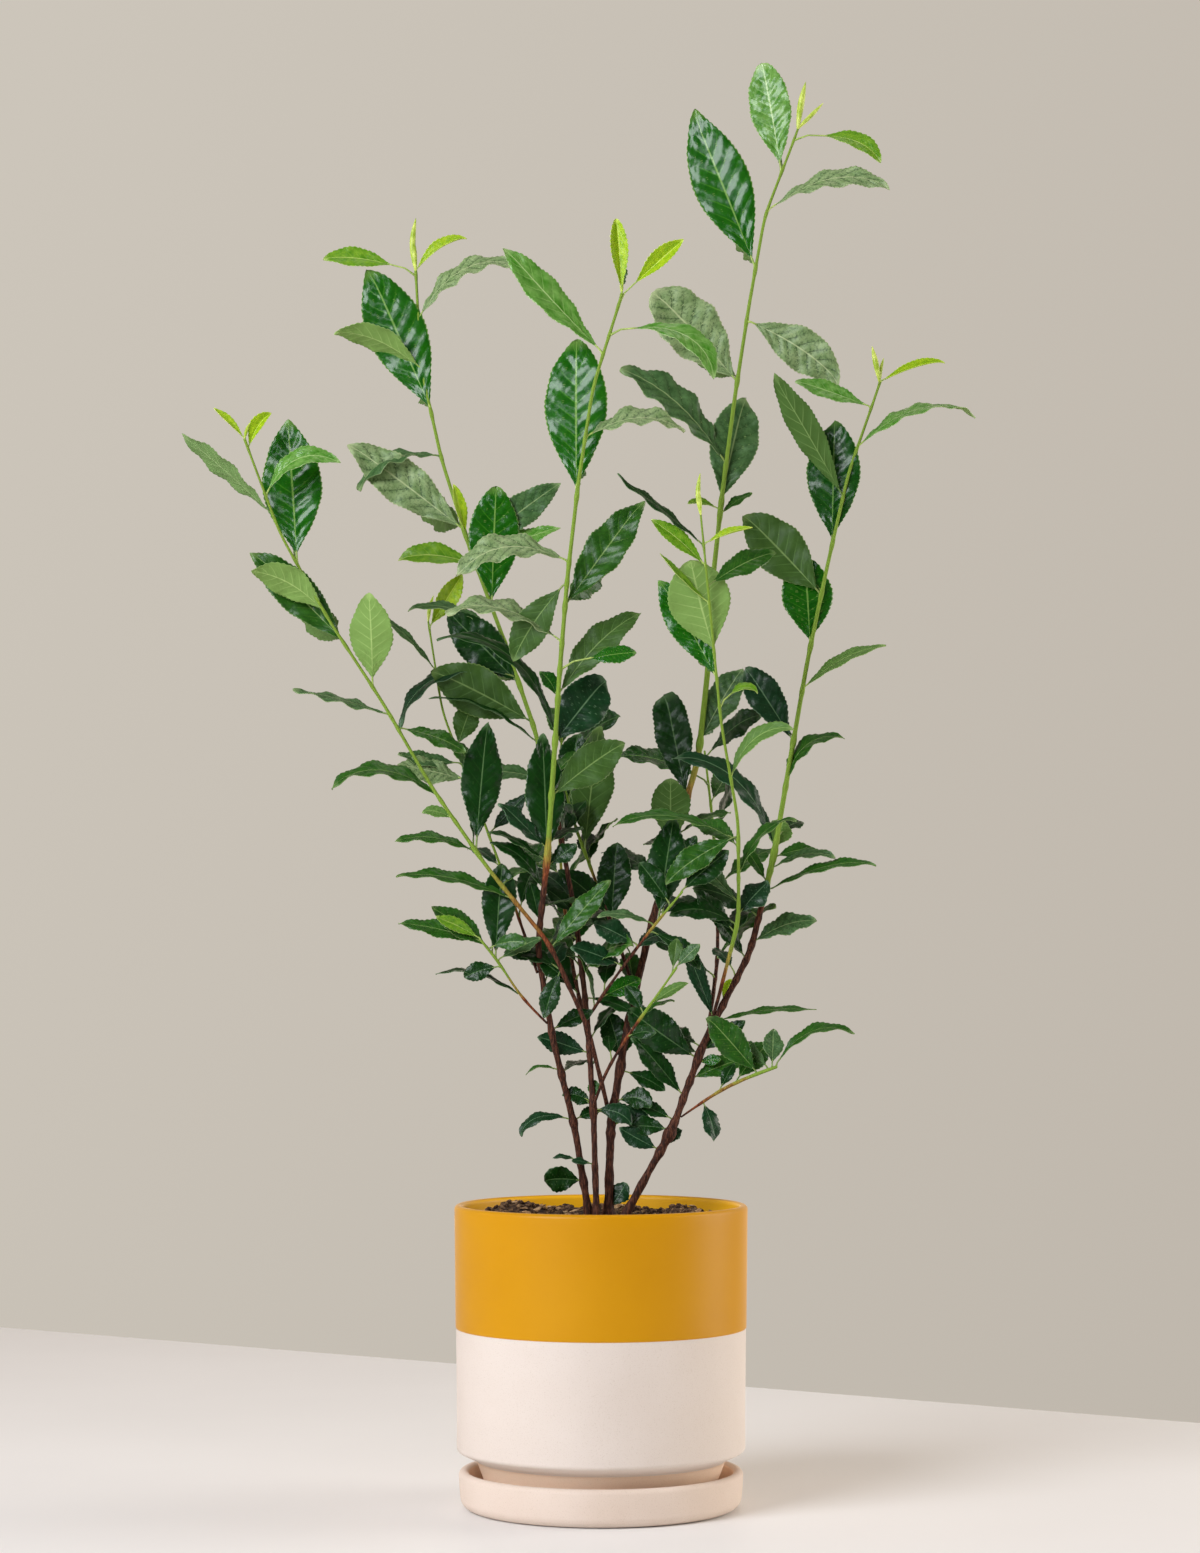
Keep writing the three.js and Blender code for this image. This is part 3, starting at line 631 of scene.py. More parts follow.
def leafMaterial(name, spec):
    # a waxy cuticle over green tissue: sunk veins, flecks, a lighter margin that is painted rim light, a
    # lighter rib, a dull underside
    s = SimpleNamespace(**leafShape)
    gloss = 1.42 if spec["rough"] < s.waxyBelow else 1.35
    material, surface, node = newMaterial("teaLeaf_" + name, Roughness=spec["rough"], IOR=gloss)
    place = node("UVMap", {"uv_map": "OFBake"})
    x, y, _ = node("SeparateXYZ", {"Vector": place}).outputs
    under = node("Math", {"operation": "GREATER_THAN", 0: x, 1: 0.5})
    wrapped = node("Math", {"operation": "MULTIPLY_ADD", 0: under, 1: -0.5, 2: x})
    centred = node("Math", {"operation": "SUBTRACT", 0: wrapped, 1: 0.25})
    far = node("Math", {"operation": "ABSOLUTE", 0: centred})
    reach = node("Math", {"operation": "MULTIPLY", 0: far, 1: 1 / uvHalf})  # 0 at the rib, 1 at the margin
    lean = node("Math", {"operation": "MULTIPLY", 0: reach, 1: -s.skew * s.veins})
    climb = node("Math", {"operation": "MULTIPLY_ADD", 0: y, 1: float(s.veins), 2: lean})
    turn = node("Math", {"operation": "FRACT", 0: climb})
    middle = node("Math", {"operation": "SUBTRACT", 0: turn, 1: 0.5})
    vein = node("Math", {"operation": "ABSOLUTE", 0: middle})  # 0.5 on a side vein
    mottle = node("TexNoise", {"Scale": 9.0, "Detail": 4.0, "Vector": place})
    stretch = node("Mapping", {"Scale": (34, 46, 1), "Vector": place})
    fleck = node("TexNoise", {"Scale": 1.0, "Detail": 4.0, "Roughness": 0.7, "Vector": stretch})
    near = node("Math", {"operation": "MULTIPLY_ADD", 0: vein, 1: 0.2, 2: fleck})
    details = {  # what each one follows, where it starts, where it is full, and how strong it is there
        "line": (vein, 0.43, 0.5, 1.0), "fade": (reach, 0.95, 0.3, 1.0), "cloud": (mottle, 0.3, 0.7, 1.0),
        "spot": (near, 0.52, 0.72, spec["spots"]), "rim": (reach, 0.95, 1.0, 0.8), "end": (y, 0.9, 1.0, 0.8),
        "rib": (reach, 0.045, 0.015, 0.85),
    }
    share = {}
    for key, (source, start, full, most) in details.items():
        settings = {"Value": source, "From Min": start, "From Max": full, "To Max": most}
        share[key] = node("MapRange", settings)
    clouded = node("Math", {"operation": "MULTIPLY", 0: share["cloud"], 1: spec["mottle"]})
    sideVeins = node("Math", {"operation": "MULTIPLY", 0: share["line"], 1: share["fade"]})
    veined = node("Math", {"operation": "MULTIPLY", 0: sideVeins, 1: 0.75})
    upper, rib = linear(spec["upper"]), linear(spec["rib"])
    # the margin's mix toward the rib colour is painted rim light; mottle, spots and veins are the leaf's own
    for factor, key in ((clouded, "edge"), (share["spot"], "dark"), (veined, "vein"), (share["rim"], "rib")):
        upper = node("Mix", {"data_type": "RGBA", 0: factor, 6: upper, 7: linear(spec[key])})
    below = node("Mix", {"data_type": "RGBA", 0: veined, 6: linear(spec["under"]), 7: rib})
    blade = node("Mix", {"data_type": "RGBA", 0: under, 6: upper, 7: below})
    for factor in (share["end"], share["rib"]):
        blade = node("Mix", {"data_type": "RGBA", 0: factor, 6: blade, 7: rib})
    duller = min(0.75, spec["rough"] + 0.3)
    dull = node("MapRange", {"Value": under, "To Min": spec["rough"], "To Max": duller})
    spread = node("Mapping", {"Scale": (8, 10, 1), "Vector": place})
    pucker = node("TexNoise", {"Scale": 1.0, "Detail": 2.0, "Roughness": 0.5, "Vector": spread})
    bump = node("Bump", {"Strength": 0.6, "Distance": 0.001, "Height": pucker})
    setNode(surface, {"Base Color": blade, "Roughness": dull, "Normal": bump})
    return material


def bladeWidth(t, widest, blunt):
    # half width of the blade along its length: a wedge at the stalk, a fine or round tip
    low = np.sin(pi / 2 * np.clip(t / widest, 0, 1)) ** 1.1
    high = np.cos(pi / 2 * np.clip((t - widest) / (1 - widest), 0, 1)) ** (1.0 - 0.5 * blunt)
    return np.where(t < widest, low, high)


def facing(azimuth, pitch, face):
    # the turn about the leaf's own length that brings its face, or its back, towards the front;
    # a face above 1 sets the blade on edge, so that it shows from the sides
    if face > 1:
        return leafShape["onEdge"]
    phi, theta = radians(azimuth), radians(pitch)
    full = np.degrees(np.arctan2(abs(cos(phi)), sin(phi) * sin(theta)))
    side = 1 if cos(phi) > -1e-6 else -1
    return side * (face * full if face >= 0 else face * (180 - full))


def leafMesh(base, azimuth, pitch, endPitch, length, width, kind, face, sway, blunt):
    # the upper and lower side of one blade as rows of points across it, and how many rows
    spec, s = leafKinds[kind], SimpleNamespace(**leafShape)
    teeth = int(np.clip(round(length / s.toothPitch), s.fewestTeeth, s.mostTeeth))
    rows = 3 * teeth + 1
    t = np.linspace(0, 1, rows)
    droop = rng.normal(s.droop, s.droopSpread) * np.clip((t - 0.75) / 0.25, 0, 1) ** 2
    theta = np.radians(pitch + (endPitch - pitch) * t**1.4 - droop)
    phi = np.radians(azimuth + sway * t)
    ahead = np.stack([np.cos(phi) * np.cos(theta), np.sin(phi) * np.cos(theta), np.sin(theta)], axis=1)
    up = np.stack([-np.cos(phi) * np.sin(theta), -np.sin(phi) * np.sin(theta), np.cos(theta)], axis=1)
    out = np.cross(ahead, up)
    roll = facing(azimuth, pitch, face) + rng.normal(0, s.rollSpread) + rng.normal(0, s.twistSpread) * t
    roll = np.radians(roll)[:, None]
    normal = up * np.cos(roll) + out * np.sin(roll)
    side = np.cross(ahead, normal)
    steps = np.concatenate([np.zeros((1, 3)), np.cumsum((ahead[1:] + ahead[:-1]) / 2, axis=0)])
    middle = base + steps * length / (rows - 1)
    widest = 0.5 + 0.08 * blunt + rng.normal(0, 0.02)
    half = width / 2 * bladeWidth(t, widest, blunt) + 0.35 * (1 - t) ** 6 + 0.12
    tooth = np.array([0.0, 0.62, 1.0] * teeth + [0.0]) - 0.5
    toothSize = s.toothDepth * np.clip(half / 6, 0, 1)
    v = across[None, :]
    a = np.abs(v)
    spread = half[:, None] * a + (tooth * toothSize)[:, None] * np.clip((a - 0.88) / 0.12, 0, 1)
    fold = np.radians(spec["fold"] + rng.normal(0, s.foldSpread))
    veinTurn = 2 * pi * s.veins * (t[:, None] - s.skew * a)
    window = np.clip(1.35 - a, 0, 1) * np.clip(a * 6, 0, 1) * np.clip(np.minimum(t, 1 - t) * 6, 0, 1)[:, None]
    lift = spread * np.sin(fold) + spec["cup"] * half[:, None] * a**2.2
    lift = lift - spec["quilt"] * 0.5 * (1 + np.cos(veinTurn)) * window * min(1.0, width / 32)
    phase = rng.random(2) * 2 * pi
    waves = (1.6 + length / 40) * 2 * pi * t[:, None]
    ripple = np.where(v < 0, np.sin(waves + phase[0]), np.sin(waves + phase[1]))
    lift = lift + spec["wave"] * ripple * a**2 * min(1.0, width / s.broad) * np.clip(t * 5, 0, 1)[:, None]
    groove = np.exp(-((a / s.ribWidth) ** 2)) * np.clip((1 - t) * 4, 0, 1)[:, None]
    blade = middle[:, None] + side[:, None] * (np.sign(v) * spread * np.cos(fold))[..., None]
    lower = blade + normal[:, None] * (lift - s.thick - s.ribThick * groove)[..., None]
    upper = blade + normal[:, None] * (lift - s.ribGroove * groove * 0.6)[..., None]
    return np.concatenate([upper.reshape(-1, 3), lower.reshape(-1, 3)]), rows


def leafFaces(rows):
    # the faces of one blade and their UVs: both sides, then the rims that close it
    cols = len(across)
    count = rows * cols
    r, c = np.meshgrid(np.arange(rows - 1), np.arange(cols - 1), indexing="ij")
    one = (r * cols + c).ravel()
    top = np.stack([one, one + 1, one + 1 + cols, one + cols], axis=1)
    bottom = top[:, ::-1] + count
    left = np.arange(rows - 1) * cols
    right = left + cols - 1
    rimLeft = np.stack([left, left + cols, left + cols + count, left + count], axis=1)
    rimRight = np.stack([right, right + count, right + cols + count, right + cols], axis=1)
    foot = np.arange(cols - 1)
    tip = foot + (rows - 1) * cols
    footRim = np.stack([foot, foot + count, foot + 1 + count, foot + 1], axis=1)
    tipRim = np.stack([tip, tip + 1, tip + 1 + count, tip + count], axis=1)
    place = np.tile(across, rows)
    t = np.repeat(np.linspace(0.01, 0.99, rows), cols)
    uvTop = np.stack([0.25 + uvHalf * place, t], axis=1)
    uvBottom = np.stack([0.75 - uvHalf * place, t], axis=1)
    both = np.concatenate([uvTop, uvBottom])
    uv = [both[top.ravel()], both[bottom.ravel()]]
    for ring, level in ((rimLeft, 0.002), (rimRight, 0.498)):
        flat = both[ring.ravel()].copy()
        low = ring.ravel() >= count
        flat[low, 0] = level
        flat[low, 1] = both[ring.ravel()[low] - count][:, 1]
        uv.append(flat)
    for ring, level in ((footRim, 0.002), (tipRim, 0.998)):
        flat = both[ring.ravel() % count].copy()
        flat[ring.ravel() >= count, 1] = level
        uv.append(flat)
    return np.concatenate([top, bottom, rimLeft, rimRight, footRim, tipRim]), np.concatenate(uv)


# chosen leaves of each limb: height above the mix, azimuth (0 right, 90 away, 180 left, 270 near),
# pitch at the stalk and at the tip, length, width, kind, how far the face (or, below 0, the back)
# turns to the front, stalk length (4 unless given), blunt tip (0 long and fine, 1 round)
chosenLeaves = {
    "tall_stem": [
        (754, 350, -4, -62, 48, 16, "fresh", 0.6, 20), (731, 150, 80, 78, 73, 31, "pale", 1, 7, 1),
        (703, 352, 34, -36, 88, 19, "sage", 0.35, 8), (662, 158, 68, 67, 117, 42, "glossy", 1, 9, 0.3),
        (627, 350, -26, -50, 76, 31, "sage", 0.85, 5, 0.2), (583, 176, 50, 44, 84, 46, "sage", 0.98, 4, 1),
        (524, 186, 56, 18, 96, 34, "dull", 0.6, 6), (497, 44, 74, 70, 76, 36, "dull", 0.9, 4, 0.7),
        (492, 190, 25, -20, 20, 9, "fresh", 0.4), (488, 20, 42, 18, 26, 10, "mature", 0.4),
        (326, 30, 60, 54, 58, 26, "dull", 0.9, 5, 0.6), (288, 150, 77, 78, 70, 28, "deep", 1, 4, 1.5),
        (252, 262, 82, 78, 44, 28, "olive", 0, 5, 0.8), (226, 20, 58, 40, 40, 22, "deep", 0.7),
        (104, 80, 80, 76, 26, 18, "deep", 0.8, 4, 0.6), (100, 350, -16, -42, 28, 14, "deep", 0.7, 5),
        (78, 330, 20, -60, 26, 16, "deep", 0.5), (66, 10, 20, -64, 18, 13, "blue", 0.6),
        (58, 0, 55, 20, 12, 6, "fresh", 0.5), (2, 0, 56, 62, 18, 15, "blue", 0.9, 5, 0.9),
        (106, 150, 76, 66, 32, 21, "deep", 0.9, 3), (76, 350, -20, -70, 26, 16, "blue", 0.8, 2),
    ],
    "right_stem": [
        (578, 5, 26, 4, 44, 9, "young", 0.5), (560, 172, 22, 18, 52, 16, "pale", 0.6),
        (530, 8, 42, -24, 92, 26, "pale", 0.4, 7), (496, 190, 60, 56, 92, 22, "olive", -0.75, 6),
        (463, 76, 82, 80, 86, 38, "shade", 0.9, 5, 0.4), (428, 172, 48, 44, 73, 37, "olive", 0.95, 5, 0.6),
        (392, 105, 82, 78, 60, 36, "glossy", 0.9, 5, 0.6), (362, 2, 42, 4, 62, 16, "matte", 0.4, 5),
        (326, 166, 58, 54, 58, 26, "blue", 0.9, 4, 0.8), (296, 4, 76, -24, 56, 18, "mature", 0.5),
        (252, 186, 72, -6, 100, 20, "blue", 0.5, 4, 0.3), (250, 60, 60, 50, 22, 18, "matte", 0.9, 4, 0.8),
        (246, 8, 20, -10, 28, 12, "mature", 0.5), (238, 350, 30, -24, 44, 12, "dull", 0.35),
        (222, 350, 28, -8, 76, 12, "mature", 0.2, 5), (228, 180, 62, 50, 24, 9, "mature", 0.5),
        (187, 0, 34, -6, 44, 19, "dull", 0.5), (176, 195, 56, 44, 34, 16, "deep", 0.6),
        (205, 200, 36, 0, 48, 18, "deep", 0.5), (146, 40, 64, 50, 17, 8, "young", 0.6, 2, 0.8),
        (133, 4, 16, -10, 66, 10, "mature", 0.3, 5), (134, 176, 70, 66, 54, 13, "blue", 0.7, 4, 0.2),
        (108, 183, 34, 38, 54, 28, "deep", 0.95, 4, 0.5), (112, 10, 36, 30, 34, 14, "deep", 0.8),
        (94, 8, 24, 14, 38, 18, "mature", 0.8), (82, 178, 52, 46, 50, 18, "deep", 0.7),
        (106, 0, 10, 0, 14, 8, "glossy", 0.8, 2), (66, 176, 28, 18, 22, 11, "deep", 0.7),
        (60, 172, 10, -6, 24, 15, "deep", 0.8, 3, 0.6), (46, 30, 50, 10, 18, 12, "blue", 0.6),
        (46, 178, 26, 34, 28, 14, "blue", 0.8, 3, 0.3),
    ],
    "far_left_bough": [
        (515, 45, 66, 30, 30, 11, "young", 0.5, 3), (521, 182, 46, 40, 26, 7, "young", 0.6, 3),
        (484, 352, 62, -44, 58, 17, "pale", 0.5, 5), (471, 186, 44, 36, 76, 17, "dull", -0.3, 5),
        (441, 120, 82, 80, 92, 41, "glossy", 1, 6, 0.4), (408, 190, 44, 2, 54, 24, "matte", -0.6),
        (386, 172, 46, 42, 86, 29, "mature", 0.9, 6), (360, 268, 82, 76, 57, 30, "matte", 0, 5, 0.6),
        (340, 180, 20, 6, 64, 19, "dull", 0.3), (332, 8, -10, -36, 44, 17, "mature", 0.4),
        (284, 182, 38, -46, 78, 22, "mature", 0.3, 5), (250, 60, 82, 80, 80, 29, "deep", 1, 8, 0.1),
        (270, 182, 30, -20, 20, 10, "matte", 0.6), (248, 182, 26, -22, 54, 15, "mature", 0.35),
        (216, 182, 24, -8, 78, 16, "mature", 0.35, 5), (184, 16, 50, 46, 58, 18, "mature", 0.85),
        (160, 170, 44, 24, 22, 15, "deep", 0.7), (170, 184, -66, -80, 32, 14, "deep", 0.85, 2),
    ],
    "left_stem": [
        (666, 0, 48, 8, 41, 12, "young", 0.5, 3), (660, 182, 14, -8, 48, 17, "fresh", 0.6, 18),
        (627, 0, 60, -22, 82, 22, "sage", 0.5, 6), (592, 190, 38, -6, 64, 24, "matte", -0.6, 5),
        (560, 168, 66, 66, 108, 42, "glossy", 1, 6, 0.5), (530, 186, 8, -76, 66, 25, "dull", 0.35),
        (476, 176, 38, 35, 96, 33, "sage", 0.9, 6), (473, 200, 75, 78, 34, 10, "young", 0.5, 3),
        (462, 8, 40, 34, 76, 24, "dull", 0.7), (452, 182, 18, -18, 52, 21, "fresh", 0.7),
        (457, 6, 22, 18, 60, 17, "pale", 0.7, 4, 0.2), (423, 76, 84, 82, 80, 36, "glossy", 0.9, 5, 0.8),
        (398, 184, 40, -18, 70, 12, "dull", 0.3, 5), (372, 190, 14, -84, 96, 18, "blue", 0.3, 6),
        (366, 178, 46, 44, 68, 32, "deep", 0.95, 5), (340, 184, 30, 22, 74, 35, "olive", 0.95, 5),
        (325, 186, 40, -6, 80, 14, "deep", 0.15, 5), (300, 184, 14, -10, 48, 15, "dull", 0.5, 5),
        (206, 185, 48, 30, 24, 13, "deep", 0.6), (188, 186, 44, 36, 20, 12, "sage", 0.7),
        (176, 186, 30, 10, 20, 10, "dull", 0.5), (150, 350, -6, -40, 30, 13, "deep", 0.5),
        (78, 176, 30, -20, 18, 12, "deep", 0.7), (72, 10, 4, -50, 26, 14, "blue", 0.6),
        (36, 190, 20, -10, 13, 6, "blue", 0.5, 3), (112, 184, 20, 14, 34, 16, "blue", 0.9, 3),
        (80, 60, 80, 70, 12, 9, "mature", 0.8, 2), (77, 176, 30, 20, 14, 11, "deep", 0.8, 2),
        (74, 350, 0, -60, 26, 13, "blue", 0.8, 3),
    ],
    "centre_stem": [
        (616, 180, 87, 84, 45, 13, "young", 0.9, 4, 0.8), (608, 0, 43, 40, 42, 14, "young", 0.8, 18),
        (589, 350, 4, -88, 72, 20, "pale", 0.45, 16), (576, 176, 46, 50, 92, 24, "pale", 0.6, 6),
        (522, 5, 30, -38, 66, 24, "sage", 0.35, 5), (483, 96, 84, 82, 102, 43, "glossy", 1, 7, 0.7),
        (441, 186, 24, -62, 78, 26, "sage", 0.6, 5), (428, 165, -48, -66, 58, 24, "olive", 0.9, 5),
        (411, 14, 54, 52, 86, 29, "mature", 0.95, 6, 0.3), (388, 184, 38, -24, 80, 25, "sage", 0.5, 5),
        (371, 350, 10, 2, 31, 15, "glossy", 0.8, 20, 0.8), (352, 12, 56, 26, 78, 24, "olive", 0.7, 6),
        (350, 160, 70, 30, 20, 12, "shade", 0.8), (322, 16, 52, 46, 54, 34, "blue", 0.95, 3, 0.9),
        (326, 186, 74, -14, 112, 15, "deep", 0.5), (286, 10, 40, 30, 58, 27, "olive", 0.95, 4, 0.4),
        (250, 186, 46, 42, 42, 16, "blue", 0.6), (244, 104, 84, 80, 82, 28, "deep", 1, 4, 0.4),
        (242, 190, 38, 10, 42, 11, "deep", 0.4), (238, 10, 40, 30, 22, 14, "deep", 0.8),
        (222, 186, 64, 4, 48, 15, "deep", 0.55), (200, 150, 76, 70, 26, 13, "deep", 0.8),
        (174, 176, 30, -10, 22, 11, "deep", 0.6), (100, 184, 20, -60, 22, 5, "mature", 0.3),
        (66, 182, 16, -76, 38, 11, "blue", 0.5, 5), (66, 20, 26, 4, 16, 10, "deep", 0.8),
        (38, 184, 20, -20, 15, 6, "blue", 0.4), (25, 186, 8, -12, 24, 20, "deep", 1, 2, 0.9),
        (128, 10, 30, 12, 28, 13, "deep", 0.8, 3),
    ],
    "front_bough": [
        (452, 358, 24, 6, 30, 8, "young", 0.5), (450, 184, 42, 30, 70, 14, "deep", 0.3, 5, 0),
        (437, 182, 46, 30, 44, 13, "fresh", 0.7), (424, 20, 34, 14, 50, 18, "mature", 0.7, 5),
        (412, 186, 40, 52, 42, 9, "fresh", 0.4, 5), (380, 196, 72, 80, 60, 42, "matte", -1, 4, 0.8),
        (362, 166, 62, 56, 74, 26, "glossy", 0.9, 5), (345, 10, 40, -60, 20, 10, "fresh", 0.6, 12),
        (298, 0, 70, -14, 56, 16, "matte", 0.45), (260, 184, -26, -46, 54, 20, "mature", 0.75, 5),
        (256, 184, 28, -28, 84, 14, "mature", 0.25, 6), (232, 4, 70, 4, 56, 16, "mature", 0.4, 5),
        (214, 178, 48, 40, 50, 14, "dull", 0.6, 5), (206, 20, 50, 40, 28, 22, "blue", 0.8),
        (200, 190, 30, -30, 46, 18, "deep", 0.5), (194, 186, 50, 40, 36, 17, "deep", 0.7),
    ],
    "rear_left_bough": [
        (408, 20, 58, 56, 42, 16, "young", 0.9), (376, 186, 54, 22, 60, 9, "dull", 0.2, 5),
        (366, 20, 20, 0, 20, 10, "fresh", 0.6), (322, 30, 70, 64, 30, 18, "olive", 0.9, 5),
        (312, 186, 4, 14, 40, 14, "dull", 0.6, 5), (300, 186, 14, 8, 46, 20, "sage", 0.8, 5),
        (262, 10, 48, 44, 34, 14, "blue", 0.5, 5),
    ],
    "middle_bough": [
        (286, 60, 78, 74, 46, 24, "deep", 0.8, 4, 0.8), (252, 40, 82, 80, 82, 32, "olive", 1, 6, 0.4),
        (206, 184, 50, 26, 44, 20, "deep", 0.8), (202, 60, 84, 82, 52, 25, "deep", 1, 4, 0.8),
    ],
    "upper_crossing_twig": [
        (222, 20, 42, 35, 40, 20, "deep", 0.8), (213, 170, 56, 50, 32, 17, "deep", 0.9, 4, 0.5),
        (204, 40, 80, 76, 66, 27, "deep", 1, 5, 0.4), (200, 188, 24, -20, 36, 11, "dull", 0.4),
        (196, 350, -24, -60, 40, 14, "deep", 0.6), (186, 170, 30, 20, 30, 20, "blue", 0.8),
        (182, 30, 40, -50, 38, 17, "blue", 0.6), (172, 184, 24, 14, 34, 18, "blue", 0.7),
        (150, 10, 26, 20, 27, 14, "glossy", 0.9, 4, 0.6), (144, 150, 86, 40, 38, 7, "mature", 0.3, 3),
    ],
    "crossing_twig": [
        (171, 10, 46, 40, 20, 11, "dull", 0.7, 3), (168, 60, 74, 70, 20, 10, "olive", 0.7),
        (146, 20, 34, 22, 28, 9, "matte", 0.6, 3), (140, 150, 60, 40, 20, 12, "deep", 0.7, 3),
        (124, 320, 20, -20, 22, 11, "deep", 0.6, 3),
    ],
    "low_right_twig": [
        (100, 182, 50, 46, 48, 22, "mature", 0.9, 3, 0.5), (104, 80, 66, 60, 24, 15, "dull", 0.8),
        (105, 5, 54, -34, 60, 13, "mature", 0.4, 5), (94, 30, 50, 30, 34, 18, "mature", 0.8),
        (88, 40, 56, 40, 20, 10, "deep", 0.7, 3), (80, 330, -60, -88, 26, 14, "blue", 0.6, 2),
    ],
    "low_left_twig": [
        (178, 60, 84, 80, 60, 26, "deep", 1, 4, 0.7), (188, 180, 18, 4, 54, 15, "mature", 0.8, 5),
        (190, 200, 30, 14, 32, 10, "fresh", 0.8), (184, 190, 40, 26, 44, 18, "mature", 0.8),
        (184, 340, 20, -20, 24, 12, "mature", 0.8), (176, 20, 30, 20, 30, 12, "dull", 0.5),
        (172, 182, -10, -30, 22, 14, "deep", 0.7, 4, 0.8), (150, 186, 34, -14, 60, 13, "deep", 0.35, 5),
    ],
}
# the rest grow by rule: limb, lowest and highest, how many, shortest and longest, kinds
leafRuns = [
    ("tall_stem", 110, 290, 5, (30, 50), ("deep", "mature", "blue")),
    ("right_stem", 100, 290, 3, (28, 46), ("deep", "blue", "deep")),
    ("centre_stem", 90, 290, 4, (26, 44), ("deep", "blue", "deep")),
    ("left_stem", 110, 330, 5, (30, 50), ("deep", "mature", "blue")),
    ("far_left_bough", 110, 250, 2, (30, 44), ("deep", "mature")),
    ("front_bough", 180, 300, 2, (28, 40), ("deep", "mature")),
    ("rear_left_bough", 190, 300, 3, (30, 46), ("deep", "blue", "mature")),
    ("middle_bough", 165, 290, 4, (30, 50), ("deep", "blue")),
    ("back_bough", 140, 338, 11, (40, 72), ("deep", "mature", "shade")),
    ("back_right_bough", 150, 326, 10, (40, 72), ("deep", "mature", "shade")),
    ("crossing_twig", 80, 150, 2, (18, 26), ("deep", "mature")),
    ("upper_crossing_twig", 145, 200, 2, (22, 34), ("deep", "blue")),
]
ruleLeaf = {"turn": 137.5, "turnSpread": 16, "pitch": 38, "pitchSpread": 18, "slim": 0.40, "broader": 0.08}
backLeaf = {
    "pitch": 34, "face": 0.85, "length": 44,  # the least that the leaf in front of it has
    "rise": 0.58, "share": 0.66, "spread": 0.1, "reach": 148, "least": 20,
    "above": 3, "curl": 16, "slim": 0.38, "deepBelow": 300,
}
# buds of each limb: height, azimuth, pitch, length and width
budList = {
    "tall_stem": [(770, 20, 80, 34, 4.6), (770, 8, 46, 26, 2.8)],
    "right_stem": [(590, 180, 78, 26, 3.8), (590, 40, 78, 18, 2.4)],
    "far_left_bough": [(524, 60, 60, 14, 2.2)],
    "left_stem": [(672, 90, 87, 38, 4.2)],
    "centre_stem": [(620, 60, 80, 14, 2.4)],
    "front_bough": [(478, 100, 86, 28, 3.2)],
    "rear_left_bough": [(416, 60, 70, 20, 2.6)],
}
stalkShape = {
    "steeper": 22, "steepest": 86, "thin": 0.45, "gain": 0.35, "taper": [1.5, 1.12, 1.0, 0.95, 0.9, 0.45],
}
grown = {kind: [] for kind in leafKinds}
stalks = []
knotHeights = {name: [] for name in limbs}


def heading(azimuth, pitch):
    phi, theta = radians(azimuth), radians(pitch)
    return np.array([cos(phi) * cos(theta), sin(phi) * cos(theta), sin(theta)])


def growLeaf(limb, height, azimuth, pitch, endPitch, length, width, kind, face, stalk=4, blunt=0.35):
    # a stalk that leaves the limb steeply and bends out, and the blade at its end
    place, radius = along(limb, height)
    knotHeights[limb].append(height)
    out = heading(azimuth, pitch)
    lean = heading(azimuth, min(stalkShape["steepest"], pitch + stalkShape["steeper"]))
    start = place + lean * radius * 0.55
    bend = start + lean * stalk * 0.5
    base = bend + out * stalk * 0.6
    path = np.array([start, (start + bend) / 2 + lean * 0.2, bend, (bend + base) / 2, base, base + out * 2.0])
    thick = stalkShape["thin"] + stalkShape["gain"] * min(1.0, width / 40)
    stalks.append((path, np.array(stalkShape["taper"]) * thick, kind))
    sway = rng.normal(0, leafShape["swaySpread"])
    grown[kind].append(leafMesh(base, azimuth, pitch, endPitch, length, width, kind, face, sway, blunt))


def growBehind(limb, height, azimuth, pitch, length, face):
    # a long, steep leaf turned flat to the front has a smaller one on edge behind it, for depth
    s = SimpleNamespace(**backLeaf)
    if pitch < s.pitch or abs(face) < s.face or length < s.length:
        return
    rise = radians(s.rise * pitch)
    swing = cos(radians(azimuth)) * tan(rise) / tan(radians(pitch))
    room = s.reach - along(limb, height)[0][1]
    size = min(length * (s.share + s.spread * rng.random()), room / cos(rise))
    kind = "deep" if height < s.deepBelow else "mature"
    if size > s.least:
        around, tilt = degrees(acos(swing)), degrees(rise)
        growLeaf(limb, height + s.above, around, tilt, tilt - s.curl, size, size * s.slim, kind, 2, 4, 0.5)


def growChosen():
    for limb, rows in chosenLeaves.items():
        for row in rows:
            growLeaf(limb, *row)
            growBehind(limb, *row[:3], length=row[4], face=row[7])


def growByRule():
    # on the back boughs the leaves wind up the limb; on the others they point backwards, as fillers
    s = SimpleNamespace(**ruleLeaf)
    for limb, low, high, count, sizes, kinds in leafRuns:
        turn = rng.random() * 360
        for k in range(count):
            height = low + (high - low) * (k + rng.random() * 0.8) / count
            turn += s.turn + rng.normal(0, s.turnSpread)
            length = sizes[0] + (sizes[1] - sizes[0]) * rng.random()
            width = length * (s.slim + s.broader * rng.random())
            pitch = s.pitch + rng.normal(0, s.pitchSpread)
            around = turn % 360 if limb.startswith("back") else 15 + 150 * rng.random()
            endPitch = pitch - 20 - 25 * rng.random()
            face, stalk, blunt = rng.random() * 0.6, 4 + 7 * rng.random(), rng.random() * 0.8
            kind = kinds[k % len(kinds)]
            growLeaf(limb, height, around, pitch, endPitch, length, width, kind, face, stalk, blunt)


growChosen()
growByRule()

mostTriangles = 180000  # in one piece


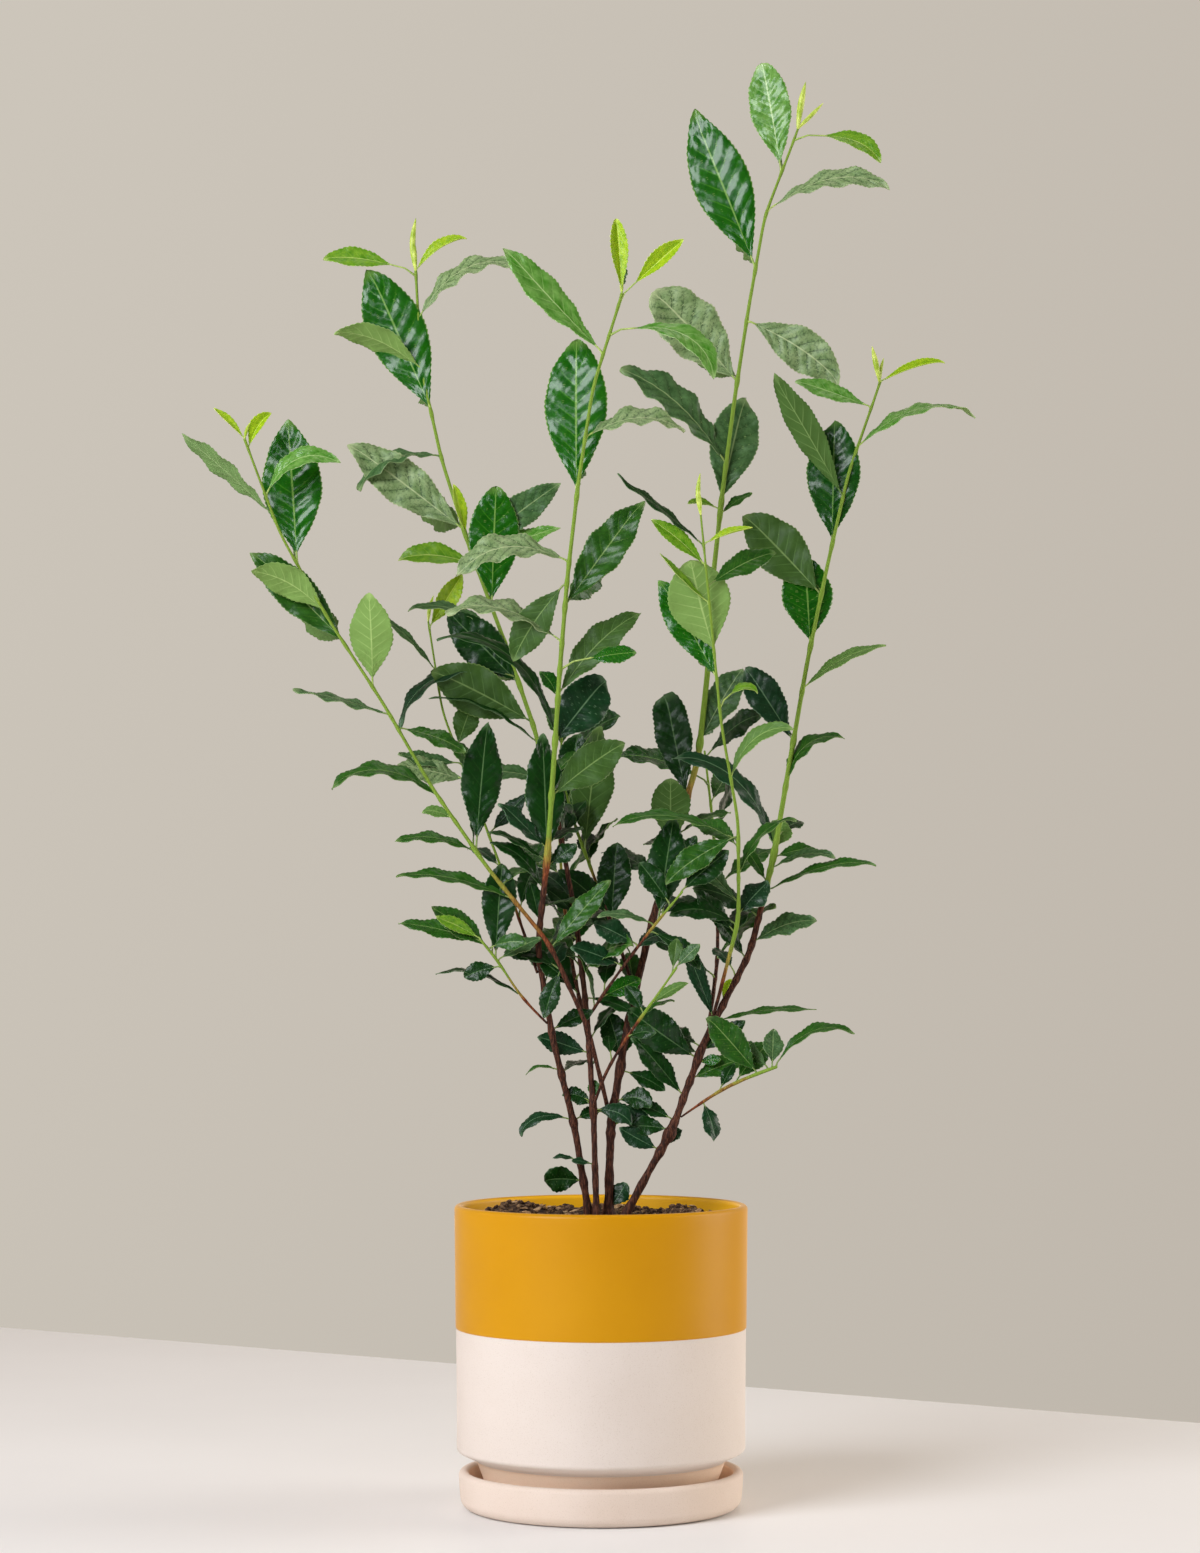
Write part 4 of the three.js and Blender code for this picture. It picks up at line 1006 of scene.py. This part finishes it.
def joinLeaves(kind, material):
    # the leaves of one kind, in as few pieces as the limit on triangles allows
    batches, size = [[]], 0
    for leaf in grown[kind]:
        cost = leaf[1] * len(across) * 4
        if size + cost > mostTriangles:
            batches.append([])
            size = 0
        batches[-1].append(leaf)
        size += cost
    pieces = []
    for number, batch in enumerate(batches):
        points, faces, uv, start = [], [], [], 0
        for cloud, rows in batch:
            ring, flat = leafFaces(rows)
            points.append(cloud)
            faces.append(ring + start)
            uv.append(flat)
            start += len(cloud)
        name = f"{kind}_leaves_{number + 1}"
        points, faces, uv = np.concatenate(points) * mm, np.concatenate(faces), np.concatenate(uv)
        pieces.append(addPiece(name, points, faces, [material], "tea_foliage", uv=uv))
    return pieces


leafPieces = {kind: joinLeaves(kind, leafMaterial(kind, spec)) for kind, spec in leafKinds.items()}
massNodes = [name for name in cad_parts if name.endswith(("_leaves", "_sprig"))]
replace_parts(leafPieces["deep"][0], *massNodes)
print("leaves ready:", sum(len(g) for g in grown.values()))


def shootMaterial(name, colours):
    # green shoot skin: smooth, faintly waxy, a little darker in patches of about 6 mm
    material, surface, node = newMaterial(name, Roughness=0.42, IOR=1.45)
    place = node("TexCoord").outputs["Object"]
    patch = node("TexNoise", {"Scale": 160.0, "Detail": 3.0, "Vector": place})
    tone = node("ValToRGB", {"Fac": patch, "stops": zip((0.35, 0.65), colours)})
    setNode(surface, {"Base Color": tone})
    return material


def joinTubes(name, tubes, material):
    points, faces, start = [], [], 0
    for cloud, rings in tubes:
        points.append(cloud)
        faces += [tuple(v + start for v in face) for face in rings]
        start += len(cloud)
    addPiece(name, np.concatenate(points) * mm, faces, [material], "tea_foliage")


softKinds = ("young", "fresh", "glossy", "sage", "pale", "matte")  # leaves on light green stalks
stalkSides, budSides = 8, 10


def makeStalks():
    soft = [tubeMesh(path, radii, stalkSides) for path, radii, kind in stalks if kind in softKinds]
    firm = [tubeMesh(path, radii, stalkSides) for path, radii, kind in stalks if kind not in softKinds]
    joinTubes("upper_leaf_stalks", soft, shootMaterial("greenStalk", ("#8aa64b", "#b2c76a")))
    joinTubes("lower_leaf_stalks", firm, shootMaterial("darkStalk", ("#5d7a3c", "#87994f")))


def makeBuds():
    # needle buds: slim spindles with one overlapping scale
    tubes = []
    share = np.linspace(0, 1, 14)
    body = 0.3 * (1 - share) + 0.8 * np.sin(pi * share ** 1.2) ** 0.9 + 0.02
    for limb, rows in budList.items():
        for height, azimuth, pitch, length, width in rows:
            place = along(limb, height)[0]
            way = heading(azimuth, pitch)
            bow = heading(azimuth + 90, 0) * 0.06 * length
            path = place + way * (share * length)[:, None] + bow * (np.sin(share * pi))[:, None]
            tubes.append(tubeMesh(path, width / 2 * body + 0.15, budSides))
            scale = place + way * (share * length * 0.62)[:, None] + bow * 0.8 * (share)[:, None]
            scale = scale + heading(azimuth + 180, 10) * 0.3
            tubes.append(tubeMesh(scale, width * 0.42 * body + 0.12, budSides))
    joinTubes("tea_buds", tubes, shootMaterial("budScale", ("#9cb82f", "#d2e06a")))


makeStalks()
makeBuds()
print("stalks and buds ready")
for name in limbs:
    makeLimb(name, knotHeights[name])
print("limbs ready")
